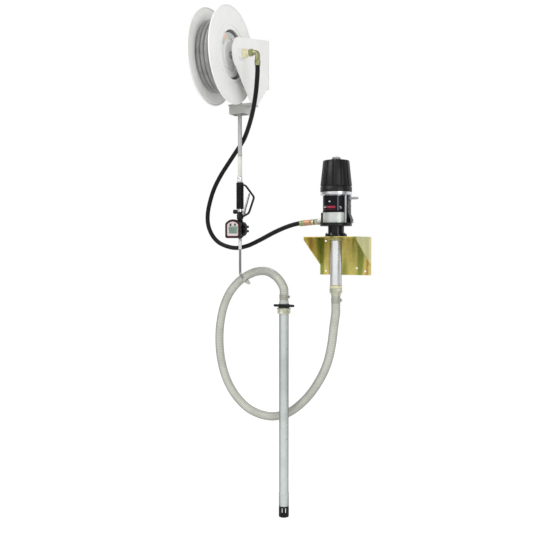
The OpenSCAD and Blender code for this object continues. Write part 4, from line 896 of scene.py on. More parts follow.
def on_pipe(piece, *facts):
    """Sets a piece on the suction pipe's axis and hands it over."""
    return hand_over(set_in_place(piece, PIPE), *facts)


def at_reel(piece, *facts):
    """Sets a piece on the reel's axle, z toward the arm, and hands it over."""
    return hand_over(set_in_place(piece, REEL, RIGHT), *facts)


def at_gun(piece, name, finish_name, slot, body="gun"):
    """Sets a piece on the gun's axis and hands it over."""
    return hand_over(set_in_place(piece, GUN), name, finish_name, slot, body)


# The photograph's viewpoint: the camera's place in metres, and its tilt and turn in degrees
VIEW_PLACE = (1.08359, -3.23988, 0.04460)
VIEW_TILT, VIEW_TURN = 88, 24


class OILKIT_OT_camera(bpy.types.Operator):
    """Add the camera at the photograph's viewpoint"""

    bl_idname = "oilkit.camera"
    bl_label = "Camera"

    def execute(self, context):
        lens = bpy.data.cameras.new("Viewpoint")
        lens.lens = 50
        lens.sensor_width = 36
        camera = bpy.data.objects.new("Viewpoint", lens)
        camera.location = VIEW_PLACE
        camera.rotation_euler = (math.radians(VIEW_TILT), 0, math.radians(VIEW_TURN))
        context.scene.collection.objects.link(camera)
        context.scene.camera = camera
        return {"FINISHED"}


class OILKIT_OT_finishes(bpy.types.Operator):
    """Make the materials and put them on the frame's own parts"""

    bl_idname = "oilkit.finishes"
    bl_label = "Finishes"

    def execute(self, context):
        make_finishes(context.scene.oil_kit_colours)
        for name, finish_name in NODE_FINISH.items():
            mesh = nodes[name].data
            mesh.materials.clear()
            mesh.materials.append(FINISHES[finish_name])
        for name, width in NODE_EDGES.items():
            edges = nodes[name].modifiers.new("Edges", "BEVEL")
            edges.width = width
            edges.segments = 2
            edges.limit_method = "ANGLE"
            edges.angle_limit = math.radians(50)
        return {"FINISHED"}


class OILKIT_OT_delivery_hose(bpy.types.Operator):
    """Add the black delivery hose from the reel's elbow to the pump's outlet"""

    bl_idname = "oilkit.delivery_hose"
    bl_label = "Delivery hose"

    def execute(self, context):
        diameter = sizes().delivery_diameter
        line = flowing(metres(DELIVERY_START + DELIVERY_ROUTE) + [along_outlet(116), along_outlet(60)], 8)
        hose = hand_over(swept(line, diameter / 2, 20), "delivery_hose_rubber", "Hose rubber",
                         "hose_rubber")
        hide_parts("delivery_hose")
        return {"FINISHED"}


class OILKIT_OT_suction_hose(bpy.types.Operator):
    """Add the spiral suction hose from the pump's stem to the suction pipe"""

    bl_idname = "oilkit.suction_hose"
    bl_label = "Suction hose"

    def execute(self, context):
        diameter = sizes().suction_diameter
        line = flowing(metres(SUCTION_START + SUCTION_ROUTE + SUCTION_END), 10)
        hose = hand_over(swept(line, diameter / 2, 28), "suction_hose_wall", "Suction hose wall",
                         "hose_pvc")
        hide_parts("suction_hose")
        return {"FINISHED"}


# The muffler cover's ribs, and its radius at their foot
COVER_RIBS = 12
COVER_RADIUS = 0.0685


def ribbed_outline(ribs, groove, floor, turn):
    """A round outline of radius 1 with grooves: groove is their share of the way round."""
    wall = 0.03
    outline = []
    for i in range(ribs):
        for share, radius in ((0.0, 1.0), (wall, floor), (groove / 2, floor), (groove - wall, floor),
                              (groove, 1.0), (0.42, 1.0), (0.62, 1.0), (0.82, 1.0)):
            outline.append(circle_point(radius, turn + 2 * math.pi * (i + share) / ribs))
    return outline


class OILKIT_OT_cover(bpy.types.Operator):
    """Add the ribbed muffler cover, its foot band and its bolt"""

    bl_idname = "oilkit.cover"
    bl_label = "Muffler cover"

    def execute(self, context):
        groove = sizes().cover_groove_width / (2 * math.pi * COVER_RADIUS / COVER_RIBS)
        ribs = raised(ribbed_outline(COVER_RIBS, groove, 0.925, math.radians(-84)),
                      [(0.0672, 0.3030), (0.0682, 0.3045), (0.0569, 0.409), (0.0548, 0.4128),
                       (0.0500, 0.414)], 0.0007, 30)
        band = turned([(0.0672, 0.2793), (COVER_RADIUS, 0.2805), (COVER_RADIUS, 0.2980),
                       (0.0674, 0.2996), (0.0648, 0.3000), (0.0640, 0.3040)], 96)
        boss = turned([(0.0235, 0.413), (0.0230, 0.4172), (0.0215, 0.418)], 48)
        shell = on_pump(joined([ribs, band, boss]), "cover_shell", "Cover plastic", "black_plastic")
        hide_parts("muffler_cover")
        on_pump(turned([(0.0226, 0.4180), (0.0226, 0.4198), (0.0216, 0.4206)], 48),
                "cover_bolt_washer", "Dark steel", "steel")
        head = hexagon(0.037, 0.4206, 0.4275, 0.0008, 0.3)
        dome = turned([(0.0150, 0.427), (0.0142, 0.4285), (0.0095, 0.430)], 32)
        bolt = on_pump(joined([head, dome]), "cover_bolt_head", "Steel", "steel")
        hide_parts("cover_bolt")
        return {"FINISHED"}


# The label on the air cylinder: radii of its sheet and of its print, and its two heights
LABEL_RADIUS = 0.05715
PRINT_RADIUS = 0.05745
LABEL_FOOT = 0.1965
LABEL_TOP = 0.2612


def label_sheet(first, last):
    """The label between two angles in degrees, over its whole height."""
    return wrap(LABEL_RADIUS, first, last, LABEL_FOOT, LABEL_TOP)


def printed(*patches):
    """Patches printed on the label, each from its two angles and its two heights."""
    return joined([wrap(PRINT_RADIUS, *patch) for patch in patches])


class OILKIT_OT_motor(bpy.types.Operator):
    """Add the air motor's head ring, seal, foot ring, label, screws and air inlet"""

    bl_idname = "oilkit.motor"
    bl_label = "Air motor"

    def execute(self, context):
        head = turned([(0.0660, 0.2631), (0.0683, 0.2650), (0.0685, 0.2690), (0.0672, 0.2700),
                       (0.0672, 0.2712), (0.0685, 0.2722), (0.0685, 0.2765), (0.0670, 0.2778)], 96)
        head = on_pump(head, "head_ring", "Head chrome", "chrome")
        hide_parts("head_plate")
        seal = turned([(0.0676, 0.2778), (0.0676, 0.2795)], 96)
        on_pump(seal, "head_seal", "Dark bore", "black_plastic")
        foot_ring = turned([(0.0576, 0.1885), (0.0580, 0.1889), (0.0580, 0.1960), (0.0574, 0.1966)], 96)
        on_pump(foot_ring, "cylinder_foot_ring", "Label black", "black_plastic")
        ground = joined([label_sheet(-152, -66), label_sheet(-60, -34), label_sheet(-22, 12)])
        on_pump(ground, "label_ground", "Label black", "black_plastic")
        on_pump(label_sheet(-66, -60), "label_strip", "Label grey", "black_plastic")
        band = printed((-111, -74, 0.2068, 0.2158), (-140, -74, 0.2010, 0.2018),
                       (-116, -111, 0.2096, 0.2158))
        on_pump(band, "label_red_band", "Label red", "black_plastic")
        lines = printed((-141, -116, 0.2150, 0.2158), (-138, -119, 0.2088, 0.2112),
                        (-55, -46, 0.2056, 0.2078), (-57, -48, 0.2118, 0.2136),
                        (-104, -96, 0.2325, 0.2375))
        on_pump(lines, "label_lines", "Label white", "white_paint")
        screws = [set_in_place(socket_screw(0.0050, 0.0045), (0.0595, 0, z), RIGHT)
                  for z in (0.2290, 0.2040)]
        screws += [set_in_place(socket_screw(0.0045, 0.0040), (0.0715, y, 0.1470), RIGHT)
                   for y in (-0.0057, 0.0057)]
        on_pump(joined(screws), "block_screws", "Steel", "steel")
        tail = [(0.0100, 0.0), (0.0100, 0.0090), (0.0088, 0.0100), (0.0054, 0.0104), (0.0054, 0.0195),
                (0.0060, 0.0200), (0.0053, 0.0255), (0.0060, 0.0260), (0.0053, 0.0315), (0.0060, 0.0320),
                (0.0050, 0.0405), (0.0046, 0.0420)]
        nut = hexagon(0.0212, 0.0, 0.0092, 0.0007)
        fitting = set_in_place(joined([nut, turned(tail, 36)]), (0.058, 0, 0.250), RIGHT)
        fitting = on_pump(fitting, "air_inlet_fitting", "Steel", "steel")
        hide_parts("air_inlet")
        return {"FINISHED"}


class OILKIT_OT_outlet(bpy.types.Operator):
    """Add the outlet's adapter, thread ring and swivel nut, and the hose's ferrule with its collar"""

    bl_idname = "oilkit.outlet"
    bl_label = "Outlet"

    def execute(self, context):
        adapter = joined([
            turned([(0.0150, -0.004), (0.0150, 0.004), (0.0140, 0.005)], 40),
            hexagon(0.0300, 0.004, 0.0190, 0.0009, 0.2),
            turned([(0.0122, 0.018), (0.0122, 0.0215)], 40),
            hexagon(0.0284, 0.0210, 0.0335, 0.0009, 0.7)])
        adapter = on_outlet(adapter, "outlet_fitting", "Bright zinc", "zinc")
        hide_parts("outlet_adapter")
        ring = turned([(0.0118, 0.0330), (0.0120, 0.0336), (0.0120, 0.0392)], 40)
        on_outlet(ring, "outlet_thread_ring", "Dark steel", "steel")
        nut = joined([hexagon(0.0286, 0.0386, 0.0488, 0.0009, 0.5),
                      turned([(0.0124, 0.0485), (0.0124, 0.0505)], 40)])
        on_outlet(nut, "outlet_swivel_nut", "Olive zinc", "zinc")
        profile = [(0.0125, 0.0500), (0.0134, 0.0506), (0.0134, 0.0540)]
        for k in range(3):
            z = 0.0550 + 0.0095 * k
            profile += [(0.0126, z), (0.0126, z + 0.0052), (0.0134, z + 0.0060), (0.0134, z + 0.0086)]
        profile += [(0.0134, 0.0835), (0.0130, 0.0842)]
        ferrule = on_outlet(turned(profile, 48), "crimped_ferrule", "Copper zinc", "copper_zinc")
        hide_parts("delivery_ferrule")
        collar = turned([(0.0130, 0.0838), (0.0134, 0.0843), (0.0134, 0.0930), (0.0129, 0.0936),
                         (0.0129, 0.0950), (0.0133, 0.0956), (0.0133, 0.1040), (0.0126, 0.1055)], 48)
        on_outlet(collar, "ferrule_collar", "Brass", "brass")
        return {"FINISHED"}


class OILKIT_OT_stem(bpy.types.Operator):
    """Add the pump's neck with its screws, its ring nut and the stem's inlet collar"""

    bl_idname = "oilkit.stem"
    bl_label = "Pump stem"

    def execute(self, context):
        neck = joined([
            turned([(0.0285, 0.0680), (0.0285, 0.0855)], 64),
            turned([(0.0465, 0.0850), (0.0475, 0.0860), (0.0475, 0.0955), (0.0465, 0.0968),
                    (0.0372, 0.0970), (0.0352, 0.0990), (0.0350, 0.1020), (0.0350, 0.1310)], 72)])
        neck = on_pump(neck, "neck_casting", "Neck enamel", "black_casting")
        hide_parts("pump_neck")
        screw_circle, flange_top = 0.0418, 0.0970
        screws = []
        for angle in (-150, -100, -60, -10, 60, 120):
            place = (*circle_point(screw_circle, math.radians(angle)), flange_top)
            screws.append(set_in_place(socket_screw(0.0042, 0.0045), place))
        on_pump(joined(screws), "neck_screws", "Dark steel", "steel")
        slots = ribbed_outline(12, 0.26, 0.93, 0.1)
        nut = raised(slots, [(0.0320, 0.0690), (0.0320, 0.0800), (0.0314, 0.0820)], 0.0006, 30)
        nut = on_pump(nut, "ring_nut", "Olive zinc", "zinc")
        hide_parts("shelf_nut")
        collar = joined([
            turned([(0.0262, -0.1240), (0.0270, -0.1248), (0.0270, -0.1400), (0.0264, -0.1408)], 64),
            hexagon(0.0560, -0.1408, -0.1545, 0.0010, 0.35),
            turned([(0.0262, -0.1545), (0.0262, -0.1600), (0.0215, -0.1610), (0.0215, -0.1720)], 64)])
        collar = on_pump(collar, "inlet_collar", "Pale zinc", "zinc")
        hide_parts("stem_inlet")
        ring = turned([(0.0266, -0.1272), (0.0273, -0.1278), (0.0273, -0.1352), (0.0266, -0.1358)], 64)
        on_pump(ring, "inlet_ring", "Pale brass", "brass")
        return {"FINISHED"}


def hose_clamp(z0):
    """A worm-drive clamp about z: a slotted band, its screw housing and its screw."""
    inner, outer, width = 0.0195, 0.0209, 0.024
    band = turned([(inner, z0), (outer, z0 + 0.0004), (outer, z0 + width - 0.0004), (inner, z0 + width)],
                  56)
    slots = [wrap(outer, 70 + 7 * k, 73 + 7 * k, z0 + 0.007, z0 + width - 0.007, 0.0003, 2)
             for k in range(9)]
    side = math.radians(24.3)
    out = Vector((math.cos(side), math.sin(side), 0))
    along = Vector((-math.sin(side), math.cos(side), 0))
    middle = Vector((0, 0, z0 + width / 2))
    housing = plate(rounded([(-0.0065, 0), (-0.0065, 0.0075), (0.0065, 0.0075), (0.0065, 0)], 0.003),
                    0.0125, 0.0006)
    turn = Matrix((along, Vector((0, 0, -1)), out)).transposed().to_4x4()
    foot = out * (inner + 0.0006) + middle - Vector((0, 0, 0.00625))
    housing.data.transform(Matrix.Translation(foot) @ turn)
    screw = joined([turned([(0.0030, -0.0100), (0.0030, 0.0062)], 20),
                    hexagon(0.0090, 0.0060, 0.0108, 0.0005),
                    turned([(0.0050, 0.0056), (0.0050, 0.0063)], 24)])
    set_in_place(screw, out * (inner + 0.0045) + middle, along)
    return joined([band, *slots, housing, screw])


class OILKIT_OT_clamps(bpy.types.Operator):
    """Add the two hose clamps of the suction hose"""

    bl_idname = "oilkit.clamps"
    bl_label = "Hose clamps"

    def execute(self, context):
        upper = set_in_place(hose_clamp(-0.2020), PUMP)
        lower = set_in_place(hose_clamp(-0.1940), PIPE)
        clamps = hand_over(joined([upper, lower]), "hose_clamp_pair", "Clamp steel", "zinc")
        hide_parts("hose_clamps")
        return {"FINISHED"}


def wing_outline():
    """The wing nut's outline in x and y: a round middle with a rounded wing on each side."""
    half, tip, middle = 0.050, 0.0070, 0.029
    outline = []
    for k in range(9):
        x, y = circle_point(tip, math.radians(-90 + 22.5 * k))
        outline.append((half - tip + x, y))
    for k in range(1, 8):
        outline.append(circle_point(middle, math.radians(14 + (166 - 14) * k / 8)))
    return outline + [(-x, -y) for x, y in outline]


class OILKIT_OT_suction_pipe(bpy.types.Operator):
    """Add the suction pipe's collar and tube, and the bung's threaded adapter and wing nut"""

    bl_idname = "oilkit.suction_pipe"
    bl_label = "Suction pipe"

    def execute(self, context):
        collar = turned([(0.0205, -0.2000), (0.0218, -0.2008), (0.0220, -0.2060), (0.0220, -0.2150),
                         (0.0214, -0.2160)], 56)
        collar = on_pipe(collar, "pipe_collar", "Machined aluminium", "aluminium")
        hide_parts("pipe_hose_tail")
        tube = turned([(0.0215, -0.2160), (0.0215, -1.0630), (0.0220, -1.0655), (0.0230, -1.0700),
                       (0.0230, -1.1245), (0.0226, -1.1260)], 72)
        tube = on_pipe(tube, "suction_pipe_tube", "Pipe metal", "pipe_metal")
        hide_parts("suction_tube")
        thread = [(0.0270, -0.2313), (0.0314, -0.2333), (0.0315, -0.2338), (0.0315, -0.2372),
                  (0.0300, -0.2386)]
        for k in range(7):
            z = -0.2392 - 0.0025 * k
            thread += [(0.0298, z), (0.0290, z - 0.0012)]
        thread += [(0.0290, -0.2570), (0.0280, -0.2573)]
        bung = on_pipe(turned(thread, 72), "bung_threaded", "Pale zinc", "zinc", "bung")
        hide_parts("bung_adapter")
        wings = raised(wing_outline(), [(1.0, -0.2273), (1.0, -0.2163)], 0.0028)
        sleeve = turned([(0.0250, -0.2300), (0.0250, -0.2270)], 56)
        rim = turned([(0.0245, -0.2166), (0.0240, -0.2140), (0.0232, -0.2135)], 56)
        nut = on_pipe(joined([wings, sleeve, rim]), "wing_nut_cast", "Black plastic", "black_plastic",
                      "wing_nut")
        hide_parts("bung_wing_nut")
        return {"FINISHED"}


# The lever's pin, from the gun's axis
LEVER_PIN = (0.020, 0, 0.1913)


class OILKIT_OT_gun(bpy.types.Operator):
    """Add the gun's swivel nut, grip, guard, valve block, lever pin, tube and knob"""

    bl_idname = "oilkit.gun"
    bl_label = "Control gun"

    def execute(self, context):
        swivel = joined([
            hexagon(0.0278, 0.3322, 0.3440, 0.0010, 0.2),
            turned([(0.0112, 0.3436), (0.0118, 0.3442), (0.0118, 0.3500), (0.0110, 0.3506),
                    (0.0110, 0.3522), (0.0118, 0.3528), (0.0118, 0.3570), (0.0106, 0.3588)], 48)])
        swivel = at_gun(swivel, "swivel_nut", "Head chrome", "chrome", ROOT)
        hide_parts("hose_swivel_nut")
        profile = [(0.0158, 0.2126), (0.0168, 0.2134)]
        for k in range(12):
            z = 0.2170 + 0.0080 * k
            profile += [(0.0170, z), (0.0170, z + 0.0052), (0.0158, z + 0.0058), (0.0158, z + 0.0074)]
        profile += [(0.0169, 0.3140), (0.0164, 0.3160)]
        grip = at_gun(turned(profile, 56, 30), "grip_ribbed", "Grip rubber", "grip_rubber")
        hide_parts("grip_sleeve")
        path = rounded([(0.0130, 0.3226), (0.0284, 0.3180), (0.0710, 0.2643), (0.0440, 0.1925),
                        (0.0130, 0.1775)], 0.0095, 6)
        bar = forward(plate(ribbon(path, 0.0078), 0.0098, 0.0022, 3), 0.0049)
        rings = [turned([(0.0160, 0.3166), (0.0169, 0.3174), (0.0169, 0.3306), (0.0160, 0.3315)], 56),
                 turned([(0.0140, 0.1666), (0.0149, 0.1676), (0.0149, 0.1868), (0.0142, 0.1880)], 56),
                 turned([(0.0152, 0.1700), (0.0156, 0.1706), (0.0156, 0.1734), (0.0152, 0.1740)], 56)]
        guard = at_gun(joined([bar, *rings]), "guard_cast", "Black plastic", "black_plastic")
        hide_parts("trigger_guard")
        self.valve_block()
        neck = turned([(0.0126, 0.1996), (0.0132, 0.2003), (0.0132, 0.2075), (0.0126, 0.2082),
                       (0.0118, 0.2086), (0.0118, 0.2120), (0.0095, 0.2124), (0.0095, 0.3318)], 48)
        at_gun(neck, "gun_tube", "Head chrome", "chrome")
        knob = turned([(0.0100, 0.0), (0.0100, 0.0060), (0.0086, 0.0066), (0.0086, 0.0110),
                       (0.0100, 0.0116), (0.0100, 0.0205), (0.0094, 0.0218), (0.0070, 0.0224)], 40)
        knob = set_in_place(knob, (-0.0096, 0, 0.2008), (-1, 0, 0))
        knob = at_gun(knob, "valve_knob", "Black plastic", "black_plastic")
        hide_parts("valve_cap")
        return {"FINISHED"}

    def valve_block(self):
        """The block under the grip, with its two lugs and the lever's pin between them."""
        block = [(-0.0094, 0.1884), (0.0094, 0.1884), (0.0094, 0.2000), (-0.0094, 0.2000)]
        body = forward(plate(rounded(block + block[:1], 0.002, 2)[:-1], 0.0258, 0.0012), 0.0129)
        lug = rounded([(0.0080, 0.1884), (0.0245, 0.1884), (0.0245, 0.1952), (0.0080, 0.1952)], 0.003, 3)
        lugs = [forward(plate(lug, 0.0028, 0.0005), y) for y in (0.0102, -0.0074)]
        pin = set_in_place(turned([(0.0025, -0.0112), (0.0025, 0.0112)], 24), LEVER_PIN, FRONT)
        heads = []
        for side in (-1, 1):
            head = turned([(0.0040, 0.0), (0.0040, 0.0008), (0.0030, 0.0014)], 24)
            place = Vector(LEVER_PIN) + Vector((0, side * 0.0104, 0))
            heads.append(set_in_place(head, place, (0, side, 0)))
        tube = turned([(0.0090, 0.1573), (0.0090, 0.1886)], 40)
        valve = at_gun(joined([body, *lugs, tube]), "valve_block", "Black casting", "aluminium")
        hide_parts("gun_body")
        at_gun(joined([pin, *heads]), "lever_pin", "Steel", "steel")


class OILKIT_OT_lever(bpy.types.Operator):
    """Add the pressed trigger lever, a channel with two raised sides, the sides painted lighter as highlight
    and the web painted darker as shade
    """

    bl_idname = "oilkit.lever"
    bl_label = "Trigger lever"

    def execute(self, context):
        web = [(-0.0070, 0.0), (-0.0070, 0.0890), (-0.0052, 0.0935), (0.0, 0.0957), (0.0052, 0.0935),
               (0.0070, 0.0890), (0.0070, 0.0)]
        back = plate(web, 0.0014, 0.0003)
        back.data.transform(Matrix.Rotation(math.radians(90), 4, "Z"))
        set_in_place(back, (-0.0011, 0, 0))
        side = rounded([(-0.0024, 0.0), (-0.0032, 0.0200), (-0.0058, 0.0850), (0.0020, 0.0900),
                        (0.0024, 0.0)], 0.003, 3)
        parts = [forward(plate(side, 0.0012, 0.0003), y) for y in (0.0070, -0.0058)]
        eye = [circle_point(0.0044, math.radians(20 * k)) for k in range(18)]
        parts += [forward(plate(eye, 0.0018, 0.0003), y) for y in (0.0070, -0.0052)]
        lever = joined(parts)
        lean = Matrix.Translation(LEVER_PIN) @ Matrix.Rotation(math.radians(16.9), 4, "Y")
        lever.data.transform(lean)
        back.data.transform(lean)
        lever = at_gun(lever, "lever_channel", "Lever steel painted light", "steel", "lever")
        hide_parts("trigger_lever")
        # The web in dark steel: the same sheet painted darker, as shade between the sides
        at_gun(back, "lever_web", "Dark steel", "steel", "lever")
        return {"FINISHED"}


# Where the meter's outline starts, in x and z from the gun's axis
METER_X, METER_Z = -0.020, 0.0803

# The meter's buttons: how far to each side, how high and how much taller than wide
BUTTON_SIDE = 0.011
BUTTON_Z = METER_Z + 0.0600
BUTTON_STRETCH = Matrix.Diagonal((1.0, 1.25, 1.0, 1.0))

# A digit's six marks from its middle: right, up, width and height
DIGIT_MARKS = (
    (0.0, 0.0142, 0.0054, 0.0013), (0.0033, 0.0078, 0.0013, 0.0062), (0.0033, 0.0008, 0.0013, 0.0062),
    (0.0, -0.0007, 0.0054, 0.0013), (-0.0033, 0.0008, 0.0013, 0.0062), (-0.0033, 0.0078, 0.0013, 0.0062),
)

# The middle between the meter's two gears and how far each is from it
GEARS_Z = 0.1223
GEAR_OFFSET = 0.012


def meter_outline(inset, steps=6):
    """The meter's outline in x and z: straight sides under an arch."""
    half, arch, height = 0.038 - inset, 0.046 - inset, 0.085
    middle = height - 0.046
    radius = max(0.008 - 0.3 * inset, 0.003)
    points = []
    for side, first in ((-1, 180), (1, 270)):
        for k in range(steps + 1):
            x, z = circle_point(radius, math.radians(first + 90 * k / steps))
            points.append((side * (half - radius) + x, inset + radius + z))
    top = math.degrees(math.acos(half / arch))
    for k in range(25):
        x, z = circle_point(arch, math.radians(top + (180 - 2 * top) * k / 24))
        points.append((x, middle + z))
    return [(METER_X + x, METER_Z + z) for x, z in points]


def meter_ring(outer, inner, depth, bevel, y):
    """A frame on the meter between two insets of its outline."""
    return forward(framed(meter_outline(outer), meter_outline(inner), depth, bevel), y)


def gear_outline(radius, steps=16):
    """The gear case's outline in x and z: a half circle round each of the two gears."""
    outline = []
    for first, middle in ((180, GEARS_Z - GEAR_OFFSET), (0, GEARS_Z + GEAR_OFFSET)):
        for k in range(steps + 1):
            x, z = circle_point(radius, math.radians(first + 180 * k / steps))
            outline.append((x, middle + z))
    return outline


def at_corners(make, y):
    """Four like pieces at the gear case's corners, which face back from a depth."""
    return [set_in_place(make(), (x, y, z), BACK) for x in (-0.025, 0.025) for z in (0.1123, 0.1323)]


class OILKIT_OT_meter(bpy.types.Operator):
    """Add the digital meter's bezel, face, display, buttons and gear housing"""

    bl_idname = "oilkit.meter"
    bl_label = "Digital meter"

    def execute(self, context):
        skirt = meter_ring(0.0, 0.0032, 0.0120, 0.0012, -0.0220)
        lip = meter_ring(0.0006, 0.0096, 0.0022, 0.0009, -0.0338)
        bezel = at_gun(joined([skirt, lip]), "bezel_frame", "Black plastic", "bezel_rubber")
        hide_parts("meter_bezel")
        line = meter_ring(0.0004, 0.0026, 0.0010, 0.0003, -0.0352)
        at_gun(line, "bezel_line", "Dark red rubber", "bezel_rubber")
        inner = meter_ring(0.0094, 0.0110, 0.0014, 0.0004, -0.0344)
        at_gun(inner, "bezel_inner_edge", "Bezel pink", "black_plastic")
        face = forward(plate(meter_outline(0.0050), 0.0020), -0.0325)
        for side in (-1, 1):
            self.well(face, METER_X + side * BUTTON_SIDE)
        face = at_gun(face, "face_panel", "Meter face", "face_plastic")
        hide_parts("meter_face")
        self.display(METER_X + 0.002, METER_Z + 0.021)
        for side, body in ((-1, "button_left"), (1, "button_right")):
            cap = turned([(0.0034, 0.0), (0.0034, 0.0018), (0.0026, 0.0026)], 32)
            cap.data.transform(BUTTON_STRETCH)
            cap = set_in_place(cap, (METER_X + side * BUTTON_SIDE, -0.0342, BUTTON_Z), FRONT)
            cap = at_gun(cap, body + "_cap", "Black plastic", "black_plastic", body)
            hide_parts(body)
        self.housing()
        return {"FINISHED"}

    def well(self, face, x):
        """Cuts the hole of a button into the face."""
        cutter = turned([(0.0038, -0.004), (0.0038, 0.004)], 32)
        cutter.data.transform(BUTTON_STRETCH)
        set_in_place(cutter, (x, -0.0335, BUTTON_Z), FRONT)
        apply_modifier(face, "BOOLEAN", operation="DIFFERENCE", object=cutter, solver="EXACT")
        bpy.data.objects.remove(cutter)

    def display(self, x, z):
        """The display's rim and glass, and its plain digits over a row of short bars."""
        rim = forward(plate(rectangle(x, z - 0.0010, 0.0450, 0.0340), 0.0006, 0.0002), -0.0344)
        at_gun(rim, "display_rim", "Grey plastic", "face_plastic")
        glass = forward(plate(rectangle(x, z + 0.0008, 0.0415, 0.0305), 0.0005, 0.0002), -0.0349)
        at_gun(glass, "display_glass", "Display glass", "face_plastic")
        marks = []
        for column in range(3):
            middle, low = x - 0.0145 + 0.0115 * column, z + 0.0100
            marks += [rectangle(middle + right, low + up, wide, high)
                      for right, up, wide, high in DIGIT_MARKS]
        marks += [rectangle(x - 0.0130 + 0.0086 * k, z + 0.0042, 0.0052, 0.0014) for k in range(4)]
        bars = [forward(plate(mark, 0.0002), -0.0353) for mark in marks]
        at_gun(joined(bars), "display_digits", "Display digits", "face_plastic")

    def housing(self):
        """The gear case behind the face, with its lid and screws."""
        front = forward(plate(meter_outline(0.0030), 0.0390, 0.0015), 0.0068)
        case = [forward(plate(gear_outline(0.0220), 0.0320, 0.0012), 0.0250),
                forward(plate(gear_outline(0.0228), 0.0040, 0.0012), 0.0140)]
        lobes = at_corners(lambda: turned([(0.0050, 0.0), (0.0050, 0.0310), (0.0044, 0.0318)], 28), -0.0062)
        ports = [turned([(0.0124, 0.1500), (0.0130, 0.1506), (0.0130, 0.1646), (0.0124, 0.1652)], 48),
                 turned([(0.0104, 0.0804), (0.0110, 0.0812), (0.0110, 0.0960)], 48)]
        body = at_gun(joined([front, *case, *lobes, *ports]), "gear_case", "Gear case black",
                      "black_plastic")
        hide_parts("meter_body")
        lid = forward(plate(gear_outline(0.0215), 0.0058, 0.0016), 0.0309)
        pads = at_corners(lambda: turned([(0.0058, 0.0), (0.0058, 0.0052), (0.0050, 0.0058)], 28), 0.0251)
        ridge = forward(plate(rectangle(0, 0.1063, 0.0100, 0.0320), 0.0012, 0.0005), 0.0320)
        cover = at_gun(joined([lid, ridge, *pads]), "gear_case_lid", "Gear case black", "black_plastic")
        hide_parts("meter_rear_cover")
        screws = at_corners(lambda: socket_screw(0.0036, 0.0016), 0.0308)
        at_gun(joined(screws), "lid_screws", "Black casting", "steel")


class OILKIT_OT_nozzle(bpy.types.Operator):
    """Add the nozzle's bent tube, its nut and its tip with a ring"""

    bl_idname = "oilkit.nozzle"
    bl_label = "Nozzle"

    def execute(self, context):
        turn, radius, bend_z, steps = math.radians(54), 0.035, -0.0727, 10
        path = [Vector((0, 0, z)) for z in (0.0805, 0.0500, 0.0, -0.0500, -0.0700)]
        for k in range(steps + 1):
            x, z = circle_point(radius, turn * k / steps)
            path.append(Vector((radius - x, 0, bend_z - z)))
        end = path[-1]
        axis = Vector((math.sin(turn), 0, -math.cos(turn)))
        tube = swept([*path, end + axis * 0.0065], sizes().nozzle_diameter / 2, 24)
        nozzle = at_gun(tube, "nozzle_bent", "Nozzle steel", "steel")
        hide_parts("nozzle_tube")
        nut = joined([hexagon(0.0173, 0.0645, 0.0800, 0.0008, 0.1),
                      turned([(0.0068, 0.0300), (0.0074, 0.0308), (0.0074, 0.0600), (0.0083, 0.0612),
                              (0.0083, 0.0648)], 32)])
        at_gun(nut, "nozzle_sleeve", "Head chrome", "steel")
        tip = turned([(0.0056, 0.0), (0.0060, 0.0010), (0.0060, 0.0055), (0.0090, 0.0075),
                      (0.0095, 0.0090), (0.0095, 0.0225), (0.0080, 0.0250), (0.0066, 0.0330),
                      (0.0060, 0.0355)], 40)
        tip = at_gun(set_in_place(tip, end + axis * 0.0060, axis), "nozzle_valve_tip", "Bright zinc", "zinc")
        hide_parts("nozzle_tip")
        ring = turned([(0.0097, 0.0), (0.0097, 0.0040)], 40)
        at_gun(set_in_place(ring, end + axis * 0.0200, axis), "nozzle_tip_ring", "Dark steel", "steel")
        return {"FINISHED"}


# The hose on the drum: steps of one turn, and the way along the axle from turn to turn
TURN_STEPS = 48
WINDING_PITCH = 0.0195


def coil(turns, radius, start_x):
    """A helix about the reel's axle."""
    line = []
    for i in range(int(turns * TURN_STEPS) + 1):
        around = circle_point(radius, 2 * math.pi * (turns - i / TURN_STEPS))
        line.append(REEL + Vector((start_x + WINDING_PITCH * i / TURN_STEPS, *around)))
    return line


def fan(first, last, inner, outer, steps=12):
    """The outline of a ring's part, in degrees from straight up, positive away from the viewer."""
    angles = [math.radians(first + (last - first) * k / steps) for k in range(steps + 1)]
    return ([(outer * math.sin(a), outer * math.cos(a)) for a in angles]
            + [(inner * math.sin(a), inner * math.cos(a)) for a in reversed(angles)])


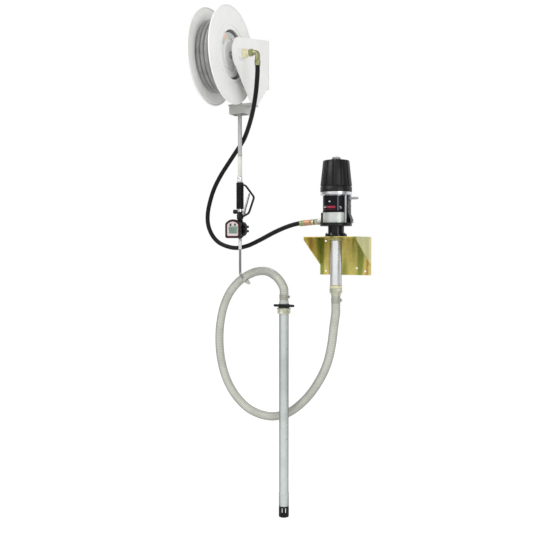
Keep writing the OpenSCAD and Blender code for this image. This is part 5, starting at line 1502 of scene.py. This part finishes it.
class OILKIT_OT_reel(bpy.types.Operator):
    """Add the reel's spring case with its plain label, its swivel and its inlet elbow"""

    bl_idname = "oilkit.reel"
    bl_label = "Reel fittings"

    def execute(self, context):
        case = turned([(0.0940, -0.0470), (0.0950, -0.0460), (0.0955, 0.0400), (0.0948, 0.0424),
                       (0.0925, 0.0438), (0.0700, 0.0442), (0.0680, 0.0400), (0.0560, 0.0400),
                       (0.0540, 0.0446), (0.0300, 0.0450), (0.0290, 0.0456)], 96)
        case = at_reel(case, "spring_housing", "White coat", "white_paint", "drum")
        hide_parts("spring_case")
        on_case = (Matrix.Translation((REEL.x + 0.0442, REEL.y, REEL.z))
                   @ Matrix.Rotation(math.radians(90), 4, "Z"))
        for first, last, name, finish_name in (
                (-70, -48, "reel_label_low", "Label mint"), (-48, -20, "reel_label_mid", "Label orange"),
                (-20, 12, "reel_label_top", "Label blue")):
            patch = plate(fan(first, last, 0.0720, 0.0925), 0.0004)
            patch.data.transform(on_case)
            hand_over(patch, name, finish_name, "white_paint", "drum")
        swivel = turned([(0.0192, 0.1060), (0.0200, 0.1068), (0.0200, 0.1208), (0.0192, 0.1218),
                         (0.0150, 0.1222), (0.0150, 0.1330), (0.0144, 0.1338)], 56)
        swivel = at_reel(swivel, "swivel_joint", "Pale brass", "brass")
        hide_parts("reel_swivel")
        self.elbow()
        return {"FINISHED"}

    def elbow(self):
        """The brass elbow from the swivel down to the delivery hose, with its two nuts."""
        start_x, turn_x, radius, end_z, steps = -0.3335, -0.295, 0.014, -0.0575, 10
        tube_radius = 0.0108
        line = [Vector((start_x, 0, 0))]
        for k in range(steps + 1):
            turn = math.radians(90 * k / steps)
            bend = Vector((-radius + radius * math.sin(turn), 0, -radius + radius * math.cos(turn)))
            line.append(Vector((turn_x, 0, 0)) + bend)
        line.append(Vector((turn_x, 0, end_z)))
        tube = swept([point + Vector((0, REEL.y, REEL.z)) for point in line], tube_radius, 28)
        nut = set_in_place(hexagon(0.0320, 0.0, 0.0165, 0.0010, 0.25), (-0.3328, REEL.y, REEL.z), RIGHT)
        foot = joined([hexagon(0.0262, 0.0, 0.0150, 0.0009, 0.5),
                       turned([(0.0116, -0.0090), (0.0122, -0.0084), (0.0122, -0.0010)], 40)])
        set_in_place(foot, (turn_x, REEL.y, 0.8202))
        elbow = hand_over(joined([tube, nut, foot]), "elbow_fitting", "Brass", "brass")
        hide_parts("inlet_elbow")


class OILKIT_OT_reel_hose(bpy.types.Operator):
    """Add the hose on the reel, its length that hangs to the gun, and the sleeve at its end"""

    bl_idname = "oilkit.reel_hose"
    bl_label = "Reel hose"

    def execute(self, context):
        diameter = sizes().reel_hose_diameter
        outer = coil(turns=2.75, radius=0.1468, start_x=-0.0386)
        outer = [outer[0] + Vector((0, diameter, 0)), *outer, outer[-1] - Vector((0, 0, diameter))]
        inner = coil(turns=4, radius=0.1272, start_x=-0.0390)
        layers = [swept(outer, diameter / 2, 18), swept(inner, diameter / 2, 16)]
        # The winding takes the darker grey: painted shade between the drum's flanges
        winding = hand_over(joined(layers), "hose_on_drum", "Drum hose grey in painted shade", "hose_grey")
        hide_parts("hose_winding")
        top, end, steps = 0.850, 0.359, 24
        line = [GUN + Vector((0, 0, top + (end - top) * i / steps)) for i in range(steps + 1)]
        drop = hand_over(swept(line, diameter / 2, 20), "hose_to_gun", "Reel hose grey", "hose_grey")
        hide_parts("reel_hose")
        sleeve = turned([(0.0096, 0.3592), (0.0099, 0.3600), (0.0099, 0.4490), (0.0096, 0.4498)], 40)
        at_gun(sleeve, "hose_sleeve", "Sleeve ivory", "hose_grey", ROOT)
        ring = turned([(0.0098, 0.4494), (0.0102, 0.4500), (0.0102, 0.4545), (0.0098, 0.4551)], 40)
        at_gun(ring, "hose_sleeve_ring", "Grey plastic", "hose_grey", ROOT)
        return {"FINISHED"}


# The lamps: name, place, what they point at, size in metres and power in watts
LAMPS = (
    ("Key lamp", (-1.9, -2.6, 2.3), (-0.3, -0.15, 0.1), 1.6, 38),
    ("Fill lamp", (2.4, -2.2, 1.0), (-0.2, -0.15, 0.0), 1.6, 23),
    ("Rim lamp", (-1.2, 1.4, 2.0), (-0.3, -0.15, 0.2), 1.2, 14),
)

STUDIO = (
    (0.0, 0.95), (0.10, 0.9), (0.17, 0.2), (0.24, 0.3), (0.31, 0.95), (0.42, 1.0), (0.50, 0.75),
    (0.57, 1.0), (0.68, 0.9), (0.75, 0.16), (0.83, 0.25), (0.91, 0.9), (1.0, 0.95),
)


class OILKIT_OT_stage(bpy.types.Operator):
    """Add the floor, the lamps and the white surroundings"""

    bl_idname = "oilkit.stage"
    bl_label = "Stage"

    def execute(self, context):
        scene = context.scene
        scene.view_settings.view_transform = "Standard"
        deselect()
        bpy.ops.mesh.primitive_plane_add(size=30, location=(0, 0, cad_box[0][2] - 0.03))
        floor = active()
        floor.name = "floor"
        floor.data.materials.append(self.floor_material())
        for name, place, target, size, watts in LAMPS:
            lamp = bpy.data.lights.new(name, "AREA")
            lamp.energy = watts
            lamp.size = size
            holder = bpy.data.objects.new(name, lamp)
            holder.location = place
            holder.rotation_euler = (Vector(target) - Vector(place)).to_track_quat("-Z", "Y").to_euler()
            scene.collection.objects.link(holder)
        self.surroundings(scene)
        return {"FINISHED"}

    def floor_material(self):
        """Matt and pale, and nearly white to the camera."""
        brightness, camera_share = 1.3, 0.62
        material = bpy.data.materials.new("Pale floor")
        material.use_nodes = True
        tree = material.node_tree
        matt = tree.nodes["Principled BSDF"]
        feed(tree, matt, {"Base Color": (0.93, 0.93, 0.93, 1), "Roughness": 0.9})
        seen = node(tree, "LightPath").outputs["Is Camera Ray"]
        glow = node(tree, "Emission", {"Color": (1, 1, 1, 1), "Strength": brightness}).outputs[0]
        share = calculate(tree, "MULTIPLY", seen, camera_share)
        shown = mixed_shaders(tree, share, matt.outputs["BSDF"], glow)
        feed(tree, tree.nodes["Material Output"], {"Surface": shown})
        return material

    def surroundings(self, scene):
        """White to the camera; metal sees a white studio with two soft grey walls at the sides."""
        soft_light, white = 0.76, 1.0
        world = bpy.data.worlds.new("Studio")
        scene.world = world
        world.use_nodes = True
        tree = world.node_tree
        tree.nodes.clear()

        def background(strength, colour=(1, 1, 1, 1)):
            return node(tree, "Background", {"Color": colour, "Strength": strength}).outputs[0]

        ray = node(tree, "LightPath").outputs
        direction = node(tree, "TexCoord").outputs["Generated"]
        split = node(tree, "SeparateXYZ", {0: direction}).outputs
        bearing = calculate(tree, "ARCTAN2", split["X"], split["Y"])
        around = ranged(tree, bearing, -math.pi, math.pi)
        ramp = node(tree, "ValToRGB", {"Fac": around})
        while len(ramp.color_ramp.elements) < len(STUDIO):
            ramp.color_ramp.elements.new(0.5)
        for element, (position, value) in zip(ramp.color_ramp.elements, STUDIO):
            element.position = position
            element.color = (value, value, value, 1)
        glossy = background(white, ramp.outputs["Color"])
        unseen = mixed_shaders(tree, ray["Is Glossy Ray"], background(soft_light), glossy)
        shown = mixed_shaders(tree, ray["Is Camera Ray"], unseen, background(white))
        node(tree, "OutputWorld", {"Surface": shown})


class OILKIT_PT_panel(bpy.types.Panel):
    bl_label = "Oil Pump Kit"
    bl_idname = "OILKIT_PT_panel"
    bl_space_type = "VIEW_3D"
    bl_region_type = "UI"
    bl_category = "Oil Pump Kit"

    def draw(self, context):
        for group in (context.scene.oil_kit_sizes, context.scene.oil_kit_colours):
            column = self.layout.column(align=True)
            for name in group.__annotations__:
                column.prop(group, name)
        for step in STEPS:
            self.layout.operator(step.bl_idname)


STEPS = (
    OILKIT_OT_camera, OILKIT_OT_finishes, OILKIT_OT_cover, OILKIT_OT_motor, OILKIT_OT_outlet,
    OILKIT_OT_stem, OILKIT_OT_clamps, OILKIT_OT_suction_pipe, OILKIT_OT_delivery_hose,
    OILKIT_OT_suction_hose, OILKIT_OT_reel, OILKIT_OT_gun, OILKIT_OT_lever, OILKIT_OT_meter,
    OILKIT_OT_nozzle, OILKIT_OT_reel_hose, OILKIT_OT_stage,
)
CLASSES = (KitSizes, KitColours, *STEPS, OILKIT_PT_panel)


def register():
    for kind in CLASSES:
        bpy.utils.register_class(kind)
    bpy.types.Scene.oil_kit_sizes = bpy.props.PointerProperty(type=KitSizes)
    bpy.types.Scene.oil_kit_colours = bpy.props.PointerProperty(type=KitColours)


def unregister():
    del bpy.types.Scene.oil_kit_colours
    del bpy.types.Scene.oil_kit_sizes
    for kind in reversed(CLASSES):
        bpy.utils.unregister_class(kind)


def main():
    """Runs every step in order."""
    register()
    for step in STEPS:
        group, name = step.bl_idname.split(".")
        getattr(getattr(bpy.ops, group), name)()
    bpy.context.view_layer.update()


if __name__ == "__main__":
    main()
